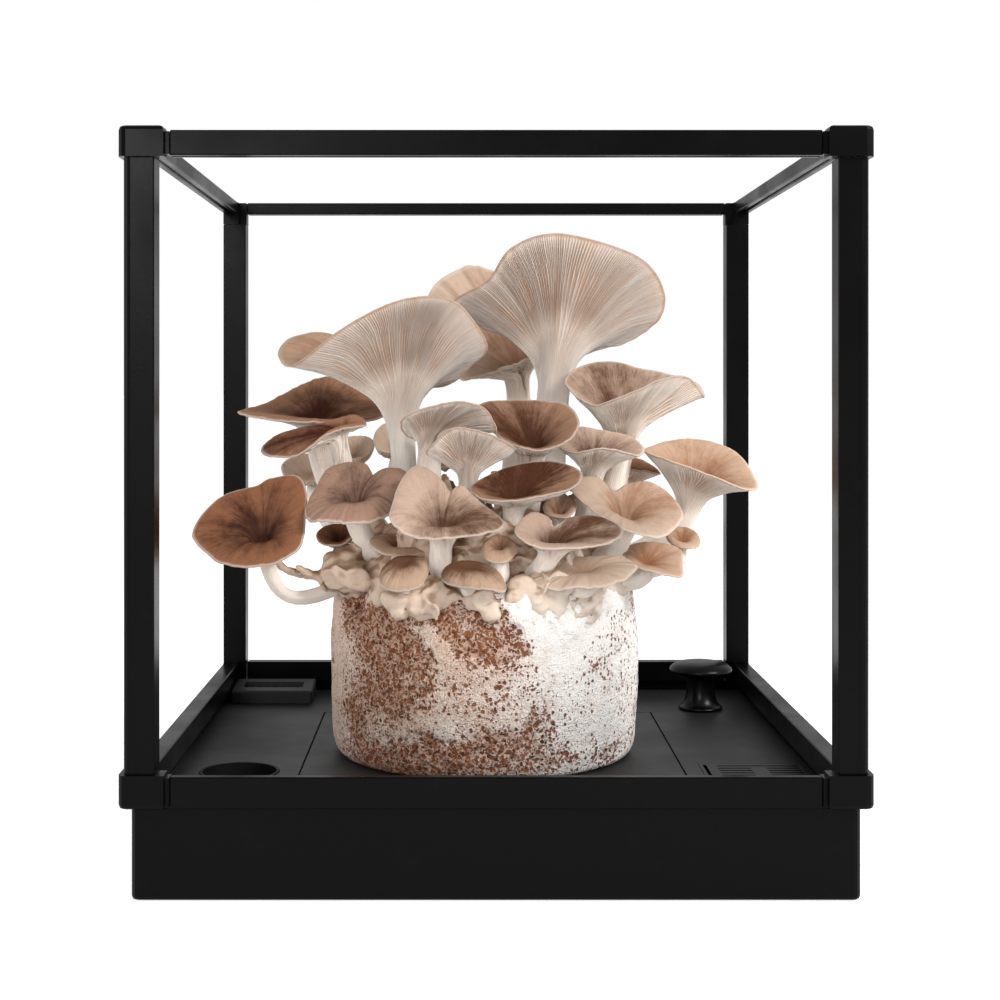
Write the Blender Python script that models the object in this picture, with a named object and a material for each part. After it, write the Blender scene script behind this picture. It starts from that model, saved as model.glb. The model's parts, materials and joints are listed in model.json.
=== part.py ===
"""Oyster mushroom grow kit: an open black case frame on a tray base, with a fruiting mycelium block.

Frame: +Z up, -Y is the front, origin at the middle of the base's underside.
Sizes are in metres. Each object is one physical piece.
"""

import math

import bmesh
import bpy
from mathutils import Vector

# ---------------------------------------------------------------- driving dimensions of the case
CASE_WIDTH = 0.3012         # over the posts' outer faces, the same front to back
POST_SIDE = 0.0128          # square posts
POST_ROUND = 0.0032         # outer edge of a post
RAIL_WIDTH = 0.0085         # rails lie flush with the posts' outer faces
GAP = 0.0003                # play between pieces that touch
CUT_PAST = 0.010            # how far a cutter runs past the face it opens

BASE_WIDTH = 0.2960
BASE_HEIGHT = 0.0374
BASE_WALL = 0.0015
BASE_CORNER_RADIUS = 0.0036
BASE_FOOT_RADIUS = 0.0016

RIM_BOTTOM = BASE_HEIGHT + GAP
RIM_TOP = 0.0490            # top of the lower rails at the sides and the back
FRONT_RIM_TOP = 0.0506
FRONT_RIM_WIDTH = 0.0044    # the front lower rail is a thin upright strip
FRONT_RAIL = (0.3012, 0.3114)   # bottom and top of the front top rail
OTHER_RAILS = (0.3067, 0.3132)  # the other top rails are shallower and sit higher
RAIL_EDGE = 0.0005

CORNER_PROUD = 0.0018       # how far a front corner block stands out from the posts
CORNER_SIDE = 0.0186        # front blocks; the back ones are as wide as the posts
CORNER_ROUND = 0.0034
CORNER_EDGE = 0.0018
LOWER_CORNER_TOP = {"front": 0.0515, "back": 0.0494}
UPPER_CORNER_BOTTOM = 0.3006
UPPER_CORNER_TOP = 0.3132
COLLAR_LENGTH = 0.0019      # neck between a front corner block and the front rail
COLLAR_INSET = 0.0005

GROOVE_WIDTH = 0.0018       # panel groove in the rails
GROOVE_DEPTH = 0.0016

# ---------------------------------------------------------------- tray, panel and fittings
DECK_TOP = 0.0322
DECK_THICKNESS = 0.0040
DECK_SIDE = BASE_WIDTH - 2 * BASE_WALL - 2 * GAP
PANEL_FRONT = -0.1420
PANEL_WIDTH = 0.1750
PANEL_REAR = 0.0790
PANEL_THICKNESS = 0.0020
PANEL_SEAM = 0.0006
PANEL_EDGE = 0.0004

WELL_CENTRE = (-0.1153, -0.0600)
WELL_DIAMETER = 0.0362
WELL_WALL = 0.0012
WELL_DEPTH = 0.0200
WELL_SEGMENTS = 40
WELL_LIP = 0.0004

VENT_BOX_X = (-0.1415, -0.0967)
VENT_BOX_Y = (0.1026, 0.1299)
VENT_BOX_TOP = 0.0394       # at its front; the lid rises to the back
VENT_BOX_RISE = 0.0022
VENT_GRILLE_X = (-0.1355, -0.1027)
VENT_GRILLE_Y = (0.1108, 0.1226)
VENT_GRILLE_DEPTH = 0.0024
VENT_BAR_COUNT = 7
VENT_BOX_EDGE = 0.0008
VENT_PLATE = 0.0012
VENT_MARGIN = 0.0015

FAN_GRILLE_X = (0.0962, 0.1440)
FAN_GRILLE_Y = (-0.0900, -0.0440)
FAN_GRILLE_THICKNESS = 0.0018
FAN_SLOT_ROWS = 9
FAN_SLOT_WIDTH = 0.0016
FAN_SLOT_DEPTH = 0.0010
FAN_SLOT_START = 0.0078
FAN_SOLID_X = (0.1192, 0.1265)   # part of the grille with no slots, but for the rearmost one
FAN_MARGIN = 0.0025

KNOB_CENTRE = (0.1160, 0.0885)
KNOB_SEGMENTS = 28

# ---------------------------------------------------------------- mycelium block
BLOCK_CENTRE = (-0.0030, -0.0110)
BLOCK_RADIUS = 0.0730
BLOCK_HEIGHT = 0.0830
BLOCK_BOTTOM_ROUND = 0.0120
BLOCK_TOP_ROUND = 0.0060
BLOCK_SEGMENTS = 32

BLACK = (0.012, 0.012, 0.013)
CREAM = (0.78, 0.68, 0.58)
BROWN = (0.34, 0.20, 0.13)


# ---------------------------------------------------------------- shared helpers
def clear_scene():
    for obj in list(bpy.data.objects):
        bpy.data.objects.remove(obj, do_unlink=True)


def finish_material(name, colour, roughness, metallic=0.0):
    material = bpy.data.materials.get(name) or bpy.data.materials.new(name)
    material.use_nodes = True
    shader = material.node_tree.nodes["Principled BSDF"]
    shader.inputs["Base Color"].default_value = (*colour, 1.0)
    shader.inputs["Roughness"].default_value = roughness
    shader.inputs["Metallic"].default_value = metallic
    return material


def add_object(name, bm, material, location=(0.0, 0.0, 0.0), sharp_angle=math.radians(35)):
    bmesh.ops.recalc_face_normals(bm, faces=bm.faces)
    mesh = bpy.data.meshes.new(name)
    bm.to_mesh(mesh)
    bm.free()
    mesh.shade_smooth()
    mesh.set_sharp_from_angle(angle=sharp_angle)
    mesh.materials.append(material)
    obj = bpy.data.objects.new(name, mesh)
    obj.location = location
    bpy.context.collection.objects.link(obj)
    return obj


def block_mesh(low, high):
    """A plain box between two corners."""
    bm = bmesh.new()
    bmesh.ops.create_cube(bm, size=1.0)
    for vert in bm.verts:
        for axis in range(3):
            vert.co[axis] = high[axis] if vert.co[axis] > 0 else low[axis]
    return bm


def bevel_edges(bm, width, segments, choose):
    """Round the edges that "choose" picks."""
    edges = [edge for edge in bm.edges if choose(edge)]
    bmesh.ops.bevel(bm, geom=edges, offset=width, segments=segments, profile=0.5, affect="EDGES")


def runs_along(edge, axis):
    step = edge.verts[1].co - edge.verts[0].co
    return abs(step[axis]) > 0.99 * step.length


def prism_mesh(outline, length):
    """An outline in X and Z, pushed out along Y about the middle."""
    bm = bmesh.new()
    start = [bm.verts.new((x, -length / 2, z)) for x, z in outline]
    face = bm.faces.new(start)
    pushed = bmesh.ops.extrude_face_region(bm, geom=[face])
    moved = [item for item in pushed["geom"] if isinstance(item, bmesh.types.BMVert)]
    bmesh.ops.translate(bm, verts=moved, vec=(0.0, length, 0.0))
    return bm


def turned_mesh(profile, segments):
    """A solid turned about Z from (radius, height) points; both ends lie on the axis."""
    bm = bmesh.new()
    rings = []
    for radius, height in profile[1:-1]:
        turns = [2 * math.pi * k / segments for k in range(segments)]
        rings.append([bm.verts.new((radius * math.cos(a), radius * math.sin(a), height)) for a in turns])
    first = bm.verts.new((0.0, 0.0, profile[0][1]))
    last = bm.verts.new((0.0, 0.0, profile[-1][1]))
    for k in range(segments):
        after = (k + 1) % segments
        bm.faces.new((first, rings[0][after], rings[0][k]))
        bm.faces.new((last, rings[-1][k], rings[-1][after]))
        for lower, upper in zip(rings, rings[1:]):
            bm.faces.new((lower[k], lower[after], upper[after], upper[k]))
    return bm


def arc_points(centre, radius, start, end, steps):
    """Points on an arc in a profile; angles in degrees, end included."""
    angles = [math.radians(start + (end - start) * k / steps) for k in range(steps + 1)]
    return [(centre[0] + radius * math.cos(a), centre[1] + radius * math.sin(a)) for a in angles]


def boolean(obj, cutter, operation="DIFFERENCE"):
    cutter.hide_render = True
    cutter.display_type = "WIRE"
    step = obj.modifiers.new(f"{operation.lower()}_{cutter.name}", "BOOLEAN")
    step.operation = operation
    step.object = cutter
    step.solver = "EXACT"


# ---------------------------------------------------------------- case
def build_base_tub(material):
    """Open-topped tub that the rims and the deck stand on."""
    half = BASE_WIDTH / 2
    bm = block_mesh((-half, -half, 0.0), (half, half, BASE_HEIGHT))
    bevel_edges(bm, BASE_CORNER_RADIUS, 3, lambda edge: runs_along(edge, 2))
    bevel_edges(bm, BASE_FOOT_RADIUS, 2, lambda edge: all(v.co.z < 1e-5 for v in edge.verts))
    tub = add_object("base_tub", bm, material)
    inner = half - BASE_WALL
    hollow = block_mesh((-inner, -inner, BASE_WALL), (inner, inner, BASE_HEIGHT + CUT_PAST))
    boolean(tub, add_object("base_tub_hollow", hollow, material))


def rail_outline(bottom, top, grooved, width=RAIL_WIDTH):
    """Section of a rail with its outer face at +X, and a groove in its under face if it is grooved."""
    outer = CASE_WIDTH / 2
    inner = outer - width
    middle = (outer + inner) / 2
    groove = [
        (middle - GROOVE_WIDTH / 2, bottom),
        (middle - GROOVE_WIDTH / 2, bottom + GROOVE_DEPTH),
        (middle + GROOVE_WIDTH / 2, bottom + GROOVE_DEPTH),
        (middle + GROOVE_WIDTH / 2, bottom),
    ]
    return [(inner, bottom), *(groove if grooved else []), (outer, bottom), (outer, top), (inner, top)]


def build_rails(material):
    """Four lower and four top rails, each between two corner blocks."""
    turns = {"right": 0.0, "back": 90.0, "left": 180.0, "front": 270.0}
    front_end = CASE_WIDTH / 2 + CORNER_PROUD - CORNER_SIDE - GAP
    back_end = CASE_WIDTH / 2 - POST_SIDE - GAP
    lengths = {"front": 2 * (front_end - COLLAR_LENGTH), "back": 2 * back_end}
    for side, turn in turns.items():
        front = side == "front"
        top_rail = FRONT_RAIL if front else OTHER_RAILS
        rim = (RIM_BOTTOM, FRONT_RIM_TOP, False, FRONT_RIM_WIDTH) if front else (RIM_BOTTOM, RIM_TOP, False)
        runs = {f"lower_rail_{side}": rail_outline(*rim), f"top_rail_{side}": rail_outline(*top_rail, True)}
        for name, outline in runs.items():
            rail = add_object(name, prism_mesh(outline, lengths.get(side, front_end + back_end)), material)
            rail.rotation_euler.z = math.radians(turn)
            if side in ("left", "right"):
                rail.location.y = (back_end - front_end) / 2
            soften = rail.modifiers.new("soft_edges", "BEVEL")
            soften.width = RAIL_EDGE
            soften.segments = 1
            soften.limit_method = "ANGLE"
            soften.angle_limit = math.radians(50)


CORNERS = {"front_left": (-1, -1), "front_right": (1, -1), "back_left": (-1, 1), "back_right": (1, 1)}


def build_posts(material):
    outer = CASE_WIDTH / 2
    inner = outer - POST_SIDE
    top = UPPER_CORNER_BOTTOM - GAP
    for corner, (sx, sy) in CORNERS.items():
        bottom = LOWER_CORNER_TOP[corner.split("_")[0]] + GAP
        low = (min(sx * outer, sx * inner), min(sy * outer, sy * inner), bottom)
        high = (max(sx * outer, sx * inner), max(sy * outer, sy * inner), top)
        bm = block_mesh(low, high)
        outer_corner = Vector((sx * outer, sy * outer))

        def is_outermost(edge, corner_xy=outer_corner):
            return runs_along(edge, 2) and (edge.verts[0].co.xy - corner_xy).length < GAP

        bevel_edges(bm, POST_ROUND, 4, is_outermost)
        bevel_edges(bm, RAIL_EDGE, 1, lambda e: runs_along(e, 2) and e.calc_face_angle(0.0) > 1.2)
        add_object(f"post_{corner}", bm, material)


def outward(edge):
    """The smaller of an upright edge's distances from the middle planes."""
    return min(abs(edge.verts[0].co.x), abs(edge.verts[0].co.y))


def build_corner_blocks(material):
    """Blocks that join posts and rails; each is cut back to the rails' inner faces."""
    rail_inner = CASE_WIDTH / 2 - RAIL_WIDTH
    for level in ("lower_corner", "upper_corner"):
        for corner, (sx, sy) in CORNERS.items():
            depth = corner.split("_")[0]
            front, lower = depth == "front", level == "lower_corner"
            outer = CASE_WIDTH / 2 + CORNER_PROUD * front
            inner = outer - (CORNER_SIDE if front else POST_SIDE)
            bottom = RIM_BOTTOM if lower else UPPER_CORNER_BOTTOM
            top = LOWER_CORNER_TOP[depth] if lower else UPPER_CORNER_TOP
            end = bottom if lower else top
            edge = CORNER_EDGE if front else RAIL_EDGE
            main = corner_box((inner, inner, bottom), (outer, outer, top), sx, sy)
            bevel_edges(main, CORNER_ROUND, 3, lambda e: runs_along(e, 2) and outward(e) > rail_inner)
            bevel_edges(main, edge, 2, lambda e: all(abs(v.co.z - end) < 1e-5 for v in e.verts))
            block = add_object(f"{level}_{corner}", main, material)
            if front:
                rail = (RIM_BOTTOM, FRONT_RIM_TOP) if lower else FRONT_RAIL
                low = (inner - COLLAR_LENGTH, rail_inner + COLLAR_INSET, rail[0] + COLLAR_INSET)
                high = (inner + CORNER_ROUND, CASE_WIDTH / 2 - COLLAR_INSET, rail[1] - COLLAR_INSET)
                neck = add_object(f"neck_{level}_{corner}", corner_box(low, high, sx, sy), material)
                boolean(block, neck, "UNION")
            room_low = (inner - CUT_PAST, inner - CUT_PAST, bottom - CUT_PAST)
            room = corner_box(room_low, (rail_inner, rail_inner, top + CUT_PAST), sx, sy)
            boolean(block, add_object(f"room_{level}_{corner}", room, material))


def corner_box(low, high, sx, sy):
    """A box given for the +X +Y corner, put in the corner that the signs name."""
    xs = sorted((sx * low[0], sx * high[0]))
    ys = sorted((sy * low[1], sy * high[1]))
    return block_mesh((xs[0], ys[0], low[2]), (xs[1], ys[1], high[2]))


# ---------------------------------------------------------------- tray and fittings
def build_deck(material):
    """Tray floor with a bed for the middle panel and holes for the well and the fan grille."""
    half = DECK_SIDE / 2
    above = DECK_TOP + CUT_PAST
    plate = block_mesh((-half, -half, DECK_TOP - DECK_THICKNESS), (half, half, DECK_TOP))
    deck = add_object("tray_deck", plate, material)
    side = PANEL_WIDTH / 2 + PANEL_SEAM
    bed_top = DECK_TOP - PANEL_THICKNESS
    bed = block_mesh((-side, PANEL_FRONT - PANEL_SEAM, bed_top), (side, PANEL_REAR + PANEL_SEAM, above))
    boolean(deck, add_object("panel_bed", bed, material))
    radius = WELL_DIAMETER / 2 + GAP
    hole = turned_mesh([(0, 0.0), (radius, 0.0), (radius, above), (0, above)], WELL_SEGMENTS)
    boolean(deck, add_object("well_hole", hole, material, (*WELL_CENTRE, 0.0)))
    low = (FAN_GRILLE_X[0] - GAP, FAN_GRILLE_Y[0] - GAP, DECK_TOP - FAN_GRILLE_THICKNESS - GAP)
    high = (FAN_GRILLE_X[1] + GAP, FAN_GRILLE_Y[1] + GAP, above)
    boolean(deck, add_object("fan_grille_seat", block_mesh(low, high), material))


def build_middle_panel(material):
    half = PANEL_WIDTH / 2
    low = (-half, PANEL_FRONT, DECK_TOP - PANEL_THICKNESS + GAP)
    bm = block_mesh(low, (half, PANEL_REAR, DECK_TOP))
    bevel_edges(bm, PANEL_EDGE, 1, lambda e: all(abs(v.co.z - DECK_TOP) < 1e-5 for v in e.verts))
    add_object("middle_panel", bm, material)


def build_water_well(material):
    """Round cup let into the deck at the front left."""
    outer = WELL_DIAMETER / 2
    inner = outer - WELL_WALL
    top = DECK_TOP + WELL_LIP
    floor = top - WELL_DEPTH
    under = floor - WELL_WALL
    profile = [(0, under), (outer, under), (outer, top), (inner, top), (inner, floor), (0, floor)]
    add_object("water_well", turned_mesh(profile, WELL_SEGMENTS), material, (*WELL_CENTRE, 0.0))


def build_vent_box(material, mesh_material):
    """Low box in the back left corner, with a recessed grille in its sloping lid."""
    bottom = DECK_TOP + GAP
    floor = VENT_BOX_TOP - VENT_GRILLE_DEPTH
    above = VENT_BOX_TOP + CUT_PAST
    (x0, x1), (y0, y1) = VENT_GRILLE_X, VENT_GRILLE_Y
    bm = block_mesh((VENT_BOX_X[0], VENT_BOX_Y[0], bottom), (VENT_BOX_X[1], VENT_BOX_Y[1], VENT_BOX_TOP))
    for vert in bm.verts:
        if vert.co.z > bottom + GAP and vert.co.y > VENT_BOX_Y[0] + GAP:
            vert.co.z += VENT_BOX_RISE
    bevel_edges(
        bm, VENT_BOX_EDGE, 1, lambda e: runs_along(e, 2) or min(v.co.z for v in e.verts) > bottom + GAP)
    box = add_object("vent_box", bm, material)
    boolean(box, add_object("vent_box_pocket", block_mesh((x0, y0, floor), (x1, y1, above)), material))
    low = (x0 + GAP, y0 + GAP, floor + GAP)
    high = (x1 - GAP, y1 - GAP, floor + GAP + VENT_PLATE)
    plate = add_object("vent_box_grille", block_mesh(low, high), mesh_material)
    pitch = (high[0] - low[0]) / (2 * VENT_BAR_COUNT + 1)
    for k in range(VENT_BAR_COUNT):
        x = low[0] + pitch * (2 * k + 1)
        slot_low = (x, low[1] + VENT_MARGIN, low[2] + VENT_PLATE / 2)
        slot = block_mesh(slot_low, (x + pitch, high[1] - VENT_MARGIN, above))
        boolean(plate, add_object(f"vent_slot_{k + 1}", slot, material))


def build_fan_grille(material):
    """Flat grille at the front right: a slot up its left side and rows of slots across it."""
    (x0, x1), (y0, y1) = FAN_GRILLE_X, FAN_GRILLE_Y
    bottom, above = DECK_TOP - FAN_GRILLE_THICKNESS, DECK_TOP + CUT_PAST
    floor = DECK_TOP - FAN_SLOT_DEPTH
    plate = add_object("fan_grille", block_mesh((x0, y0, bottom), (x1, y1, DECK_TOP)), material)
    side_low = (x0 + FAN_SLOT_WIDTH, y0 + FAN_MARGIN, floor)
    side = block_mesh(side_low, (x0 + 2 * FAN_SLOT_WIDTH, y1 - FAN_MARGIN, above))
    boolean(plate, add_object("fan_side_slot", side, material))
    pitch = (y1 - y0) / (FAN_SLOT_ROWS + 1)
    for k in range(FAN_SLOT_ROWS):
        y = y0 + pitch * (k + 1) - FAN_SLOT_WIDTH / 2
        rearmost = k == FAN_SLOT_ROWS - 1
        start, end = x0 + FAN_SLOT_START, x1 - FAN_MARGIN
        spans = [(start, end)] if rearmost else [(start, FAN_SOLID_X[0]), (FAN_SOLID_X[1], end)]
        for part, (low_x, high_x) in enumerate(spans):
            slot = block_mesh((low_x, y, floor), (high_x, y + FAN_SLOT_WIDTH, above))
            boolean(plate, add_object(f"fan_slot_{k + 1}_{part + 1}", slot, material))


def build_plug_knob(material):
    """Low plug at the back right: a short flared foot, a straight neck and a thick domed cap."""
    foot = [(0.0112, 0.0), (0.0117, 0.0008), (0.0103, 0.0019), (0.0089, 0.0040), (0.0080, 0.0070)]
    neck = [(0.0076, 0.0100), (0.0075, 0.0183), (0.0088, 0.0194), (0.0135, 0.0198)]
    cap = [(0.0160, 0.0204), (0.0166, 0.0214), (0.0160, 0.0228), (0.0138, 0.0244), (0.0104, 0.0255)]
    profile = [(0, 0.0), *foot, *neck, *cap, (0.0060, 0.0260), (0, 0.0261)]
    add_object("plug_knob", turned_mesh(profile, KNOB_SEGMENTS), material, (*KNOB_CENTRE, DECK_TOP + GAP))


def build_block(material):
    """Cylindrical mycelium block, rounded at its foot and shoulder."""
    radius = BLOCK_RADIUS
    foot = arc_points((radius - BLOCK_BOTTOM_ROUND, BLOCK_BOTTOM_ROUND), BLOCK_BOTTOM_ROUND, 270, 360, 3)
    shoulder_centre = (radius - 0.002 - BLOCK_TOP_ROUND, BLOCK_HEIGHT - BLOCK_TOP_ROUND)
    shoulder = arc_points(shoulder_centre, BLOCK_TOP_ROUND, 0, 90, 2)
    profile = [(0, 0.0), *foot, (radius + 0.0012, BLOCK_HEIGHT * 0.45), *shoulder, (0, BLOCK_HEIGHT)]
    base = DECK_TOP + GAP
    add_object("mycelium_block", turned_mesh(profile, BLOCK_SEGMENTS), material, (*BLOCK_CENTRE, base))


# ---------------------------------------------------------------- mushrooms
# Each grew as one piece. "joint" is where the stem meets the cap, in millimetres. "rim" goes round the
# cap's margin from the right by the back, the left and the front, in millimetres from the joint.
# "foot" is where the stem leaves the grown base, "stem" its radius at the joint and at the foot,
# "crown" the height of the cap's middle over the joint and "dip" how far the cap sags into a funnel.
MM = 0.001

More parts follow.
